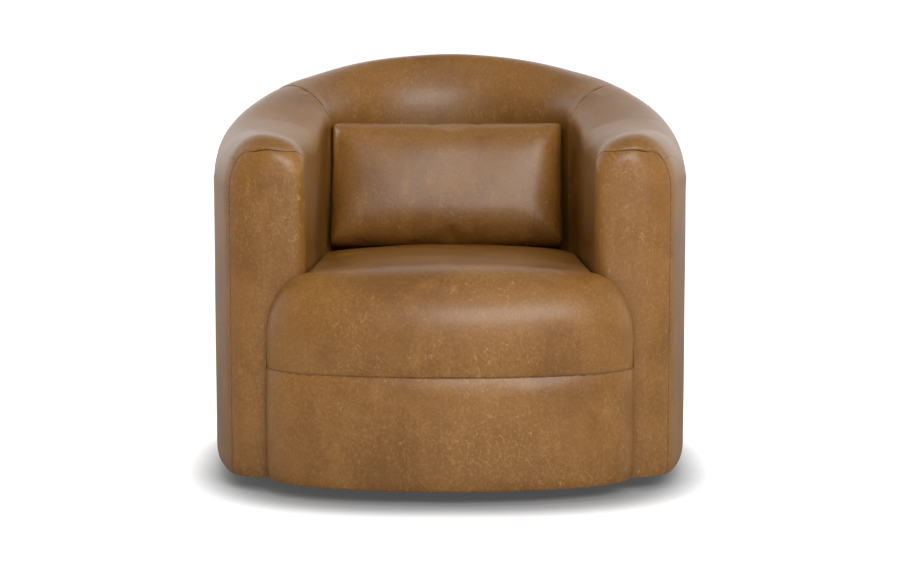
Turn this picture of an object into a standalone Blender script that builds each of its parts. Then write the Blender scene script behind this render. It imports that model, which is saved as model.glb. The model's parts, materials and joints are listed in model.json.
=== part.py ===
"""Barrel swivel armchair in leather: a round tub of arms and back, a bowed seat, a loose lumbar pillow,
and a low ball-bearing swivel on a recessed plinth.

Metres, +Z up, +Y to the back, +X to the right of someone who looks at the chair's front.
The origin is on the floor, on the swivel's axis.
"""

import math

import bmesh
import bpy
import numpy as np
from mathutils.bvhtree import BVHTree

# The tub, leather included
TUB_RADIUS = 0.432
WALL = 0.142
ARM_BOW_RADIUS = 0.85
ARM_REACH = 0.300
BACK_TOP = 0.741
ARM_TOP = 0.616
RISE_START = -0.10
RISE_POWER = 1.25
OUTER_SHOULDER = 0.090
INNER_SHOULDER = 0.048
SHOULDER_CURVE = 1.95
OUTER_CORNER = 0.052
INNER_CORNER = 0.030
FRONT_LIP = 0.020
HEM = 0.025
ARM_SEAM_ANGLE = math.radians(52)
OUTSIDE_SEAM_DROP = 0.004
PANEL_INNER_FOOT = 0.080

# The seat and the base front
SEAT_SEAM = 0.222
SEAT_BULGE = 0.272
SEAT_EDGE_HEIGHT = 0.386
SEAT_CROWN = 0.018
SEAT_EAR = 0.0127
SEAT_FRONT_DEPTH = 0.131
SEAT_BACK_DROP = 0.012
SEAT_OVERHANG = 0.004
SEAT_TUCK = 0.024
SEAM_TUCK = 0.003
SEAT_SIDE_GAP = 0.0014
SEAT_FRONT_GAP = 0.0010
SEAT_PAD_GAP = 0.0020
SEAT_BACK_ANGLE = math.radians(58)

# Sheet and board thicknesses, and the room left between pieces
LEATHER = 0.002
SKIN_GAP = 0.0008
FIT = 0.0003
PANEL = 0.005
FRAME_DEPTH = 0.045
RAIL_WIDTH = 0.025
TOP_RAIL_COVER = 0.050
TOP_RAIL_STEP = 0.016
POST_WIDTH = 0.040
POST_PLAY = 0.0008
BACK_POST_ANGLE = math.radians(34)
BOARD = 0.015
FRAME_HEIGHT = 0.150
FELT = 0.005
FRONT_PADDING = 0.010
FRONT_BOARD = 0.006
DUST_CLOTH = 0.0012
DUST_CLOTH_MARGIN = 0.012

# Springs
SPRING_COUNT = 4
SPRING_SIDE_ROOM = 0.071
SPRING_WIRE = 0.004
SPRING_SWING = 0.019
SPRING_BENDS = 9
POINTS_PER_BEND = 4
SEAT_FRAME_SETBACK = 0.015
SEAT_FRAME_SIDE_ROOM = 0.007
SEAT_FRAME_CORNER_ROOM = 0.020

# Swivel
GLIDE_COUNT = 4
GLIDE_RADIUS = 0.016
GLIDE_HEIGHT = 0.004
GLIDE_INSET = 0.035
PLINTH_SETBACK = 0.162
PLINTH = 0.015
RACE_INNER_RADIUS = 0.040
RACE_OUTER_RADIUS = 0.112
RACE_PLATE = 0.0020
RACE_RIB = 0.004
BALL_COUNT = 6
BALL_RADIUS = 0.004
BALL_INSET = 0.020
BALL_PLAY = 0.0004
CAGE_BAND = 0.016
CAGE_THICKNESS = 0.003
BOLT_RADIUS = 0.005
BOLT_PLAY = 0.0005
BOLT_HEAD_RADIUS = 0.0090
BOLT_HEAD = 0.0045
COUNTERBORE_RADIUS = 0.0115
WASHER_RADIUS = 0.014
WASHER = 0.002
NUT_RADIUS = 0.0088
NUT = 0.006
BOLT_TAIL = 0.003
ROUND_STEPS = 48

# Lumbar pillow
PILLOW_END_ROOM = 0.069
PILLOW_HEIGHT = 0.236
PILLOW_THICKNESS = 0.130
PILLOW_LEAN = math.radians(17)
PILLOW_SIDE_DRAW = 0.010
PILLOW_SHIFT = -0.004
PILLOW_SQUARENESS = 4
PILLOW_EDGE_SLIMNESS = 0.42

# How finely the soft surfaces are cut
BACK_STEPS = 7
ARM_STEPS = 4
CORNER_STEPS = 4
SECTION_STEPS = 12
SEAT_ACROSS = 16
SEAT_ROLL_STEPS = 6
SEAT_TOP_STEPS = 7
PILLOW_ACROSS = 14
PILLOW_UP = 9

FRONT_PANEL_DEPTH = OUTER_CORNER
HALF_WALL = WALL / 2
MID_RADIUS = TUB_RADIUS - HALF_WALL
INNER_RADIUS = TUB_RADIUS - WALL
ARM_FRONT_MIDDLE = MID_RADIUS - ARM_BOW_RADIUS + math.sqrt(ARM_BOW_RADIUS**2 - ARM_REACH**2)
ROUND_LENGTH = MID_RADIUS * math.pi / 2
ARM_END = ROUND_LENGTH + ARM_REACH
ARM_SEAM = MID_RADIUS * ARM_SEAM_ANGLE
FRAME_OUTSIDE = LEATHER + FIT + PANEL + FIT
FRAME_INSIDE = FRAME_OUTSIDE + FRAME_DEPTH
INNER_PANEL = FRAME_INSIDE + FIT
FOAM_BACK = INNER_PANEL + PANEL + SKIN_GAP
BALL_CIRCLE = RACE_OUTER_RADIUS - BALL_INSET
PLINTH_BOTTOM = GLIDE_HEIGHT + FIT
LOWER_RACE = PLINTH_BOTTOM + PLINTH + FIT
BALL_LOW = LOWER_RACE + RACE_PLATE + BALL_PLAY
UPPER_RACE = BALL_LOW + 2 * BALL_RADIUS + BALL_PLAY
BOARD_UNDERSIDE = UPPER_RACE + RACE_PLATE + FIT
BOARD_TOP = BOARD_UNDERSIDE + BOARD
DECK = BOARD_TOP + FIT + FRAME_HEIGHT
FELT_BOTTOM = DECK + FIT + SPRING_WIRE + FIT
SEAT_BOTTOM = FELT_BOTTOM + FELT + FIT
PADDING_DEPTH = LEATHER + SKIN_GAP
FRONT_WALL = ARM_REACH + SEAT_FRONT_GAP
SEAT_FRONT_HALF_WIDTH = ARM_FRONT_MIDDLE + SEAT_EAR
BASE_FRONT_DEPTH = SEAT_FRONT_DEPTH - SEAT_OVERHANG
FRAME_END = ARM_END - PADDING_DEPTH - FRONT_PANEL_DEPTH - FIT
SEAT_FRAME_FRONT = SEAT_FRAME_SETBACK - ARM_REACH
SEAT_FRAME_HALF_WIDTH = ARM_FRONT_MIDDLE - HALF_WALL - SEAT_FRAME_SIDE_ROOM
SEAT_FRAME_BACK = math.sqrt((INNER_RADIUS - SEAT_FRAME_CORNER_ROOM) ** 2 - SEAT_FRAME_HALF_WIDTH**2)
SPRING_PITCH = 2 * (SEAT_FRAME_HALF_WIDTH - SPRING_SIDE_ROOM) / (SPRING_COUNT - 1)
PLINTH_RADIUS = TUB_RADIUS - PLINTH_SETBACK
GLIDE_CIRCLE = PLINTH_RADIUS - GLIDE_INSET
PILLOW_WIDTH = 2 * (INNER_RADIUS - PILLOW_END_ROOM)

COLLECTION = bpy.data.collections.new("leather_swivel_chair")
CUTTERS = bpy.data.collections.new("cutters")


def clear_scene():
    for old in list(bpy.data.objects):
        bpy.data.objects.remove(old, do_unlink=True)
    bpy.context.scene.collection.children.link(COLLECTION)
    bpy.context.scene.collection.children.link(CUTTERS)


def finish(name, colour, roughness, metallic=0.0):
    """A Principled material with the part's colour as linear red, green and blue."""
    material = bpy.data.materials.new(name)
    material.use_nodes = True
    shader = material.node_tree.nodes["Principled BSDF"]
    shader.inputs["Base Color"].default_value = (*colour, 1.0)
    shader.inputs["Roughness"].default_value = roughness
    shader.inputs["Metallic"].default_value = metallic
    material.diffuse_color = (*colour, 1.0)
    return material


LEATHER_BROWN = finish("leather_brown", (0.262, 0.122, 0.042), 0.45)
FOAM = finish("foam", (0.76, 0.70, 0.52), 0.9)
PLYWOOD = finish("plywood", (0.52, 0.34, 0.18), 0.6)
TIMBER = finish("timber", (0.46, 0.28, 0.13), 0.6)
FELT_GREY = finish("felt_grey", (0.30, 0.30, 0.29), 0.95)
SPRING_STEEL = finish("spring_steel", (0.30, 0.30, 0.31), 0.4, 1.0)
ZINC_STEEL = finish("zinc_steel", (0.56, 0.57, 0.58), 0.35, 1.0)
BLACK_CLOTH = finish("black_cloth", (0.012, 0.012, 0.013), 0.95)
BLACK_PAINT = finish("black_paint", (0.016, 0.015, 0.014), 0.6)
NYLON = finish("nylon", (0.03, 0.03, 0.03), 0.5)


def place(name, mesh, material, smooth=True, collection=COLLECTION):
    """Put a mesh into the scene as a named object with its material."""
    thing = bpy.data.objects.new(name, mesh)
    if material:
        mesh.materials.clear()
        mesh.materials.append(material)
    if smooth:
        mesh.shade_smooth()
        mesh.set_sharp_from_angle(angle=math.radians(40))
    collection.objects.link(thing)
    return thing


def mesh_from(name, points, faces, closed):
    """A mesh from points and faces; a closed one gets its normals turned outwards."""
    mesh = bpy.data.meshes.new(name)
    mesh.from_pydata([tuple(p) for p in points], [], faces)
    if closed:
        work = bmesh.new()
        work.from_mesh(mesh)
        bmesh.ops.recalc_face_normals(work, faces=work.faces)
        work.to_mesh(mesh)
        work.free()
    return mesh


def grid_faces(rows, columns, wrap=False):
    """Quads between the points of a grid; wrap joins the last column to the first."""
    last = columns if wrap else columns - 1
    quads = []
    for row in range(rows - 1):
        here = row * columns
        above = here + columns
        for column in range(last):
            after = (column + 1) % columns
            quads.append((here + column, above + column, above + after, here + after))
    return quads


def shell(name, outside, inside, material, closed_row=None):
    """A closed shell between two grids of points of the same size. closed_row names the row, first or last,
    that flat faces close instead of a rim."""
    rows, columns, _ = outside.shape
    size = rows * columns
    faces = grid_faces(rows, columns)
    faces += [tuple(size + i for i in reversed(face)) for face in faces]
    ends = {"first": list(range(columns)), "last": list(range(size - columns, size))}
    sides = [[r * columns for r in range(rows)], [r * columns + columns - 1 for r in range(rows)]]
    for row, line in ends.items():
        if row == closed_row:
            faces.append(tuple(line))
            faces.append(tuple(size + i for i in line))
            sides.append([line[0], line[-1]])
        else:
            sides.append(line)
    for line in sides:
        faces += [(a, b, size + b, size + a) for a, b in zip(line, line[1:])]
    points = np.vstack([outside.reshape(-1, 3), inside.reshape(-1, 3)])
    return place(name, mesh_from(name, points, faces, closed=True), material)


def skin(name, grid, material, flip=False):
    """A sheet of leather laid on a grid of points and thickened inwards."""
    rows, columns, _ = grid.shape
    faces = grid_faces(rows, columns)
    if flip:
        faces = [tuple(reversed(face)) for face in faces]
    mesh = mesh_from(name, grid.reshape(-1, 3), faces, closed=False)
    sheet = place(name, mesh, material)
    wall = sheet.modifiers.new("thickness", "SOLIDIFY")
    wall.thickness = LEATHER
    wall.offset = -1
    wall.use_even_offset = True
    return sheet


def loft(name, rings, material):
    """A closed solid through rings of points, with flat ends."""
    count, size, _ = rings.shape
    faces = grid_faces(count, size, wrap=True)
    faces.append(tuple(range(size)))
    faces.append(tuple((count - 1) * size + c for c in range(size)))
    return place(name, mesh_from(name, rings.reshape(-1, 3), faces, closed=True), material)


def plate(name, outlines, bottom, top, material):
    """A flat board or cloth: 2D curves filled and extruded; the first is the edge, others are holes."""
    curve = bpy.data.curves.new(name, "CURVE")
    curve.dimensions = "2D"
    curve.fill_mode = "BOTH"
    curve.extrude = (top - bottom) / 2
    for outline in outlines:
        line = curve.splines.new("POLY")
        line.points.add(len(outline) - 1)
        for point, (x, y) in zip(line.points, outline):
            point.co = (x, y, 0, 1)
        line.use_cyclic_u = True
    guide = bpy.data.objects.new(name + "_outline", curve)
    guide.location = (0, 0, (top + bottom) / 2)
    return curve_to_part(name, guide, material, smooth=False)


def curve_to_part(name, guide, material, smooth=True):
    """Turn a curve object into a welded mesh object at the same place."""
    COLLECTION.objects.link(guide)
    bpy.context.view_layer.update()
    ready = guide.evaluated_get(bpy.context.evaluated_depsgraph_get())
    mesh = bpy.data.meshes.new_from_object(ready)
    work = bmesh.new()
    work.from_mesh(mesh)
    bmesh.ops.remove_doubles(work, verts=work.verts, dist=0.00001)
    bmesh.ops.recalc_face_normals(work, faces=work.faces)
    if work.calc_volume(signed=True) < 0:
        bmesh.ops.reverse_faces(work, faces=work.faces)
    work.to_mesh(mesh)
    work.free()
    part = place(name, mesh, material, smooth)
    part.matrix_world = guide.matrix_world
    bpy.data.objects.remove(guide, do_unlink=True)
    return part


def turned(name, profile, material, steps=ROUND_STEPS):
    """A closed turned ring: its profile of (radius, height) points is screwed round the Z axis."""
    mesh = bpy.data.meshes.new(name)
    count = len(profile)
    edges = [(i, (i + 1) % count) for i in range(count)]
    mesh.from_pydata([(r, 0, z) for r, z in profile], edges, [])
    ring = place(name, mesh, material)
    screw = ring.modifiers.new("turn", "SCREW")
    screw.steps = steps
    screw.render_steps = steps
    screw.use_merge_vertices = True
    screw.merge_threshold = 0.0001
    return ring


def cylinder(name, radius, bottom, top, x, y, material, sides=ROUND_STEPS, collection=COLLECTION):
    """A round bar or disc standing on its end."""
    work = bmesh.new()
    bmesh.ops.create_cone(
        work, cap_ends=True, segments=sides, radius1=radius, radius2=radius, depth=top - bottom
    )
    mesh = bpy.data.meshes.new(name)
    work.to_mesh(mesh)
    work.free()
    part = place(name, mesh, material, collection=collection)
    part.location = (x, y, (bottom + top) / 2)
    return part


def box(name, low, high, material, collection=COLLECTION):
    """A square-edged bar between two corners."""
    work = bmesh.new()
    bmesh.ops.create_cube(work, size=1.0)
    size = [b - a for a, b in zip(low, high)]
    bmesh.ops.scale(work, vec=size, verts=work.verts)
    mesh = bpy.data.meshes.new(name)
    work.to_mesh(mesh)
    work.free()
    part = place(name, mesh, material, smooth=False, collection=collection)
    part.location = [(a + b) / 2 for a, b in zip(low, high)]
    return part


def cut(part, cutter):
    """Take the cutter's shape out of the part."""
    cutter.hide_render = True
    cutter.display_type = "WIRE"
    hole = part.modifiers.new("hole", "BOOLEAN")
    hole.operation = "DIFFERENCE"
    hole.object = cutter


def fold_in(to_edge, radius):
    """How far a round corner of this radius draws in, at each distance from the edge it rounds."""
    reach = np.clip(radius - to_edge, 0, radius)
    return radius - np.sqrt(radius**2 - reach**2)


def wall_line(run):
    """The tub wall's mid-line: for each run along it from the back's middle (right is positive), the point
    and the direction across the wall, outwards. The back is a half circle; each arm goes on from it along
    a wide arc that bows in towards the front, and there the run counts metres towards the front."""
    run = np.atleast_1d(np.asarray(run, dtype=float))
    side = np.where(run < 0, -1.0, 1.0)
    turn = np.minimum(np.abs(run) / MID_RADIUS, math.pi / 2)
    ahead = np.maximum(np.abs(run) - ROUND_LENGTH, 0)
    bow = ARM_BOW_RADIUS - np.sqrt(ARM_BOW_RADIUS**2 - ahead**2)
    x = MID_RADIUS * np.sin(turn) - bow
    y = MID_RADIUS * np.cos(turn) - ahead
    return side * x, y, side * np.sin(turn), np.cos(turn), ahead


def rim_height(y):
    """Height of the tub's crest: level over the arms, then rising to the back's middle by a power of y."""
    rise = np.clip((y - RISE_START) / (MID_RADIUS - RISE_START), 0, 1) ** RISE_POWER
    return ARM_TOP + (BACK_TOP - ARM_TOP) * rise


def wall_edges(run, depth):
    """Half-widths of the wall inwards and outwards, and its crest, at a depth under the leather's face.
    Round corners draw them in near the arm's front."""
    _, y, _, _, ahead = wall_line(run)
    to_front = ARM_REACH - depth - ahead
    inner = HALF_WALL - depth - fold_in(to_front, INNER_CORNER)
    outer = HALF_WALL - depth - fold_in(to_front, OUTER_CORNER)
    crest = rim_height(y) - depth - fold_in(to_front, FRONT_LIP)
    return inner, outer, crest


def at_wall(run, across, height):
    """Points in space from runs along the wall, offsets across it and heights, all as arrays of one shape."""
    x, y, over_x, over_y, _ = wall_line(run)
    spread = (slice(None),) + (None,) * (np.ndim(across) - 1)
    out_x = x[spread] + over_x[spread] * across
    out_y = y[spread] + over_y[spread] * across
    return np.stack([out_x, out_y, height], axis=-1)


def wall_section(run, depth, foot, outer_foot=None):
    """Sections of the tub wall as an arch: up the inner side, over a crest with round shoulders (two quarter
    superellipses), and down the outer side. Rows are runs, columns go from the inner to the outer foot."""
    inner, outer, crest = wall_edges(run, depth)
    angle = np.linspace(math.pi, 0, SECTION_STEPS + 1)
    out = np.sign(np.cos(angle)) * np.abs(np.cos(angle)) ** (2 / SHOULDER_CURVE)
    up = np.abs(np.sin(angle)) ** (2 / SHOULDER_CURVE)
    inside = out < 0
    across = np.where(inside, inner[:, None], outer[:, None]) * out
    shoulder = np.where(inside, INNER_SHOULDER, OUTER_SHOULDER) - depth
    height = crest[:, None] - shoulder * (1 - up)
    across = np.column_stack([across[:, :1], across])
    height = np.column_stack([np.full(len(height), foot), height])
    if outer_foot is not None:
        across = np.column_stack([across, across[:, -1:]])
        height = np.column_stack([height, np.full(len(height), outer_foot)])
    return across, height


def wall_strip(name, run, outside, inside, bottom, top, material):
    """A curved board or pad that follows the tub wall, between two depths under the outer leather face.
    bottom and top are heights, as numbers or one for each run."""
    outer = wall_edges(run, 0)[1]
    low = np.broadcast_to(bottom, run.shape)
    high = np.broadcast_to(top, run.shape)
    across = np.stack([outer - outside, outer - outside, outer - inside, outer - inside], axis=1)
    height = np.stack([low, high, high, low], axis=1)
    return loft(name, at_wall(run, across, height), material)


def back_runs(gap):
    """Runs across the back between the two arm seams, less a gap at each."""
    run = np.linspace(-ARM_SEAM, ARM_SEAM, 2 * BACK_STEPS + 1)
    run[0] += gap
    run[-1] -= gap
    return run


def arm_runs(gap, end=None):
    """Runs along the right arm from its seam, plus a gap, to where the front panel begins, or to a given end.
    Every layer of the wall uses the same runs, so that their facets lie parallel."""
    on_round = np.linspace(ARM_SEAM, ROUND_LENGTH, ARM_STEPS + 1)
    on_arm = np.linspace(ROUND_LENGTH, ARM_END - FRONT_PANEL_DEPTH, ARM_STEPS + 1)[1:]
    run = np.concatenate([on_round, on_arm])
    run[0] += gap
    run[-1] = run[-1] - gap if end is None else end
    return run


def whole_runs(end=None):
    """Runs from the left arm's front round the back to the right arm's front."""
    arm = arm_runs(0, end)
    return np.concatenate([-arm[:0:-1], back_runs(0), arm[1:]])


def front_runs(depth):
    """Runs through the rounded front end of an arm at a depth, closer together towards its front face."""
    angle = np.linspace(0, math.pi / 2, CORNER_STEPS + 1)
    return ARM_END - depth - FRONT_PANEL_DEPTH * (1 - np.sin(angle))


def sided(side, run):
    """Runs for the right arm, or mirrored and reversed for the left one."""
    return run if side == "right" else -run[::-1]


def rim_of(run):
    """The crest's height along the wall, leather included."""
    return wall_edges(run, 0)[2]


def inside_faces(run, depth=0.0):
    """The leather that goes up the inside and over the crest, at a depth; it starts under the seat."""
    return at_wall(run, *wall_section(run, depth, SEAT_BOTTOM))


def make_tub_covers():
    """Leather: one sheet round the outside, one over the inside back and its crest, one over each arm,
    and one on each arm's front."""
    run = whole_runs()
    top = rim_of(run) - OUTER_SHOULDER - OUTSIDE_SEAM_DROP
    wall_strip("outside_cover", run, 0, LEATHER, HEM, top, LEATHER_BROWN)

    gap = FIT / 2
    run = back_runs(gap)
    shell("inside_back_cover", inside_faces(run), inside_faces(run, LEATHER), LEATHER_BROWN)

    for side in ("left", "right"):
        run = sided(side, arm_runs(gap))
        shell("arm_cover_" + side, inside_faces(run), inside_faces(run, LEATHER), LEATHER_BROWN)

        faces = []
        for depth in (0, LEATHER):
            run = sided(side, np.append(ARM_END - FRONT_PANEL_DEPTH, front_runs(depth)[1:]))
            faces.append(at_wall(run, *wall_section(run, depth, PANEL_INNER_FOOT, HEM)))
        shell("arm_front_panel_" + side, *faces, LEATHER_BROWN, "last" if side == "right" else "first")


def foam_rings(run):
    """Sections of the arm and back foam: a slab inside the frame that turns over the top rail and ends on
    the outer panel's top edge."""
    across, height = wall_section(run, PADDING_DEPTH, BOARD_TOP + FIT)
    _, outer, _ = wall_edges(run, 0)
    crest = rim_of(run)
    shelf = crest - OUTER_SHOULDER + FIT
    rail_top = crest - TOP_RAIL_COVER + FIT
    rail_outside = outer - FRAME_OUTSIDE - TOP_RAIL_STEP + SKIN_GAP
    frame_inside = outer - FOAM_BACK
    across = np.column_stack([across, rail_outside, rail_outside, frame_inside, frame_inside])
    foot = np.full(len(run), BOARD_TOP + FIT)
    height = np.column_stack([np.maximum(height, foot[:, None]), shelf, rail_top, rail_top, foot])
    height[:, SECTION_STEPS + 1] = shelf
    return at_wall(run, across, height)


def make_tub_padding():
    gap = FIT / 2
    loft("back_foam", foam_rings(back_runs(gap)), FOAM)
    for side in ("left", "right"):
        run = sided(side, arm_runs(gap, FRAME_END))
        loft("arm_foam_" + side, foam_rings(run), FOAM)
        run = sided(side, front_runs(PADDING_DEPTH))
        across, height = wall_section(run, PADDING_DEPTH, BOARD_TOP + FIT, BOARD_TOP + FIT)
        loft("arm_front_pad_" + side, at_wall(run, across, height), FOAM)


def make_tub_frame():
    """Bent outer panel, inner boards, posts and top rails, all standing on the bottom board."""
    run = whole_runs(FRAME_END)
    panel_out = LEATHER + FIT
    panel_top = rim_of(run) - OUTER_SHOULDER
    wall_strip("outer_panel", run, panel_out, panel_out + PANEL, BOARD_UNDERSIDE, panel_top, PLYWOOD)

    board_foot = BOARD_TOP + FIT
    run = back_runs(FIT)
    rail_top = rim_of(run) - TOP_RAIL_COVER
    wall_strip("inner_back_board", run, INNER_PANEL, INNER_PANEL + PANEL, board_foot, rail_top, PLYWOOD)
    rail_out = FRAME_OUTSIDE + TOP_RAIL_STEP
    rail_bottom = rim_of(run) - OUTER_SHOULDER
    wall_strip("back_top_rail", run, rail_out, FRAME_INSIDE, rail_bottom, rail_top, TIMBER)
    inner_face = INNER_PANEL + PANEL
    post_middles = {"arm_post_": FRAME_END - POST_WIDTH / 2, "back_post_": MID_RADIUS * BACK_POST_ANGLE}
    post_out = FRAME_OUTSIDE + POST_PLAY
    post_in = FRAME_INSIDE - POST_PLAY
    for side in ("left", "right"):
        run = sided(side, arm_runs(FIT, FRAME_END))
        rail_top = rim_of(run) - TOP_RAIL_COVER
        wall_strip("inner_arm_board_" + side, run, INNER_PANEL, inner_face, board_foot, rail_top, PLYWOOD)
        rail_bottom = rim_of(run) - OUTER_SHOULDER
        wall_strip("arm_top_rail_" + side, run, rail_out, FRAME_INSIDE, rail_bottom, rail_top, TIMBER)
        for post, middle in post_middles.items():
            run = sided(side, np.array([middle - POST_WIDTH / 2, middle + POST_WIDTH / 2]))
            top = rim_of(run).min() - OUTER_SHOULDER - FIT
            wall_strip(post + side, run, post_out, post_in, board_foot, top, TIMBER)


def front_bow(angle, half_width, depth, inset=0.0):
    """The bowed front in plan, a half ellipse before the arms' front face; angle 0 is its right end."""
    x = (half_width - inset) * np.cos(angle)
    y = -FRONT_WALL - (depth - inset) * np.sin(angle)
    return x, y


def bow_strip(name, outside, inside, bottom, top, material):
    """A bowed board or pad across the base front, between two depths under the leather's face."""
    angle = np.linspace(math.pi, 0, SEAT_ACROSS + 1)
    outer_x, outer_y = front_bow(angle, SEAT_FRONT_HALF_WIDTH, BASE_FRONT_DEPTH, outside)
    inner_x, inner_y = front_bow(angle, SEAT_FRONT_HALF_WIDTH, BASE_FRONT_DEPTH, inside)
    low = np.full(len(angle), bottom)
    high = np.full(len(angle), top)
    rings = np.stack(
        [
            np.stack([outer_x, outer_y, low], axis=1),
            np.stack([outer_x, outer_y, high], axis=1),
            np.stack([inner_x, inner_y, high], axis=1),
            np.stack([inner_x, inner_y, low], axis=1),
        ],
        axis=1,
    )
    return loft(name, rings, material)


def make_base_front():
    angle = np.linspace(math.pi, 0, SEAT_ACROSS + 1)
    x, y = front_bow(angle, SEAT_FRONT_HALF_WIDTH, BASE_FRONT_DEPTH)
    levels = (HEM, (HEM + SEAT_SEAM) / 2, SEAT_SEAM - FIT)
    rows = [np.stack([x, y, np.full(len(x), level)], axis=-1) for level in levels]
    skin("base_front_cover", np.stack(rows), LEATHER_BROWN, flip=True)
    padding_in = PADDING_DEPTH + FRONT_PADDING
    top = FELT_BOTTOM - FIT
    bow_strip("base_front_padding", PADDING_DEPTH, padding_in, BOARD_UNDERSIDE, top, FOAM)
    board_out = padding_in + FIT
    bow_strip("base_front_board", board_out, board_out + FRONT_BOARD, BOARD_UNDERSIDE, top, PLYWOOD)


def seat_surface(depth):
    """The seat's upper surface at a depth under the leather: rows from the bulge over the front roll to the
    crease at the back. The roll is a quarter ellipse in height over nested half ellipses in plan; the top is
    a Coons patch between the front line, the arms' inner faces and the round back, and it falls backwards."""
    wall_side = HALF_WALL + SEAT_SIDE_GAP + depth
    across = np.linspace(-1, 1, SEAT_ACROSS + 1)
    angle = math.pi / 2 * (1 - across)
    crown = SEAT_CROWN * (1 - across**2)
    front_half = ARM_FRONT_MIDDLE - wall_side
    roll = np.linspace(0, math.pi / 2, SEAT_ROLL_STEPS + 1)[:, None]
    half = front_half + (SEAT_FRONT_HALF_WIDTH - depth - front_half) * np.cos(roll)
    bow_depth = (SEAT_FRONT_DEPTH - depth) * np.cos(roll)
    spread = np.sqrt(np.cos(roll))
    plan_x = spread * np.cos(angle) + (1 - spread) * across
    roll_x = half * plan_x
    roll_y = -FRONT_WALL - bow_depth * np.sqrt(np.clip(1 - plan_x**2, 0, 1))
    top = SEAT_EDGE_HEIGHT - depth + crown * np.sin(roll)
    roll_z = SEAT_BULGE + (top - SEAT_BULGE) * np.sin(roll)

    rear = SEAT_BACK_ANGLE * across * MID_RADIUS
    rear_x, rear_y, over_x, over_y, _ = wall_line(rear)
    rear_x = rear_x - over_x * wall_side
    rear_y = rear_y - over_y * wall_side
    v = np.linspace(0, 1, SEAT_TOP_STEPS + 1)[1:, None]
    side_run = ARM_END + (SEAT_BACK_ANGLE * MID_RADIUS - ARM_END) * v[:, 0]
    side_x, side_y, over_x, over_y, _ = wall_line(side_run)
    side_x = side_x - over_x * wall_side
    side_y = side_y - over_y * wall_side
    line_y = roll_y[-1]
    u = (across + 1) / 2
    ruled_x = (1 - v) * roll_x[-1] + v * rear_x + side_x[:, None] * across
    ruled_y = (1 - v) * line_y + v * rear_y + side_y[:, None]
    corner_x = across * ((1 - v) * front_half + v * rear_x[-1])
    corner_y = (1 - v) * line_y[0] + v * rear_y[0] * (1 - u) + v * rear_y[-1] * u
    top_x = ruled_x - corner_x
    top_y = ruled_y - corner_y
    top_z = SEAT_EDGE_HEIGHT - depth + crown * (1 - v**2) - SEAT_BACK_DROP * v**2
    x = np.vstack([roll_x, top_x])
    y = np.vstack([roll_y, top_y])
    z = np.vstack([roll_z * np.ones_like(roll_x), top_z])
    return np.stack([x, y, z], axis=-1)


def seat_rows(depth):
    """The seat's surface with one more row below its bulge, drawn in where it is sewn to the base front."""
    angle = np.linspace(math.pi, 0, SEAT_ACROSS + 1)
    x, y = front_bow(angle, SEAT_FRONT_HALF_WIDTH, BASE_FRONT_DEPTH, depth + SEAM_TUCK)
    seam_row = np.stack([x, y, np.full(len(x), SEAT_SEAM)], axis=-1)
    return np.concatenate([seam_row[None], seat_surface(depth)])


def make_seat():
    shell("seat_cover", seat_rows(0), seat_rows(LEATHER), LEATHER_BROWN)
    rim = seat_rows(LEATHER + SEAT_PAD_GAP)
    rows, columns, _ = rim.shape
    faces = grid_faces(rows, columns)
    loop = list(range(columns))
    loop += [r * columns + columns - 1 for r in range(1, rows)]
    loop += [(rows - 1) * columns + c for c in range(columns - 2, -1, -1)]
    loop += [r * columns for r in range(rows - 2, 0, -1)]
    points = rim.reshape(-1, 3)
    under = points[loop].copy()
    under[:, 2] = SEAT_BOTTOM
    first = len(points)
    count = len(loop)
    for i in range(count):
        after = (i + 1) % count
        faces.append((loop[i], loop[after], first + after, first + i))
    faces.append(tuple(first + i for i in range(count)))
    place("seat_foam", mesh_from("seat_foam", np.vstack([points, under]), faces, closed=True), FOAM)


def tub_outline(outside):
    """The tub's footprint in plan at a depth under the outer leather, with the bowed front."""
    half = np.concatenate([back_runs(0)[BACK_STEPS:], arm_runs(0)[1:]])
    run = np.concatenate([half, front_runs(outside)[1:]])
    x, y, over_x, over_y, _ = wall_line(run)
    outer = wall_edges(run, outside)[1]
    right = [(a, b) for a, b in zip(x + over_x * outer, y + over_y * outer)]
    angle = np.linspace(0, math.pi / 2, SEAT_ACROSS // 2 + 1)
    depth = outside + FRONT_PADDING + FRONT_BOARD
    bow_x, bow_y = front_bow(angle, SEAT_FRONT_HALF_WIDTH, BASE_FRONT_DEPTH, depth)
    bow_y[0] = right[-1][1] - FIT
    right += [(a, b) for a, b in zip(bow_x, bow_y)]
    left = [(-a, b) for a, b in reversed(right[1:-1])]
    return right + left


def circle(radius, count=ROUND_STEPS):
    angle = np.linspace(0, 2 * math.pi, count, endpoint=False)
    return [(radius * math.cos(a), radius * math.sin(a)) for a in angle]


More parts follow.
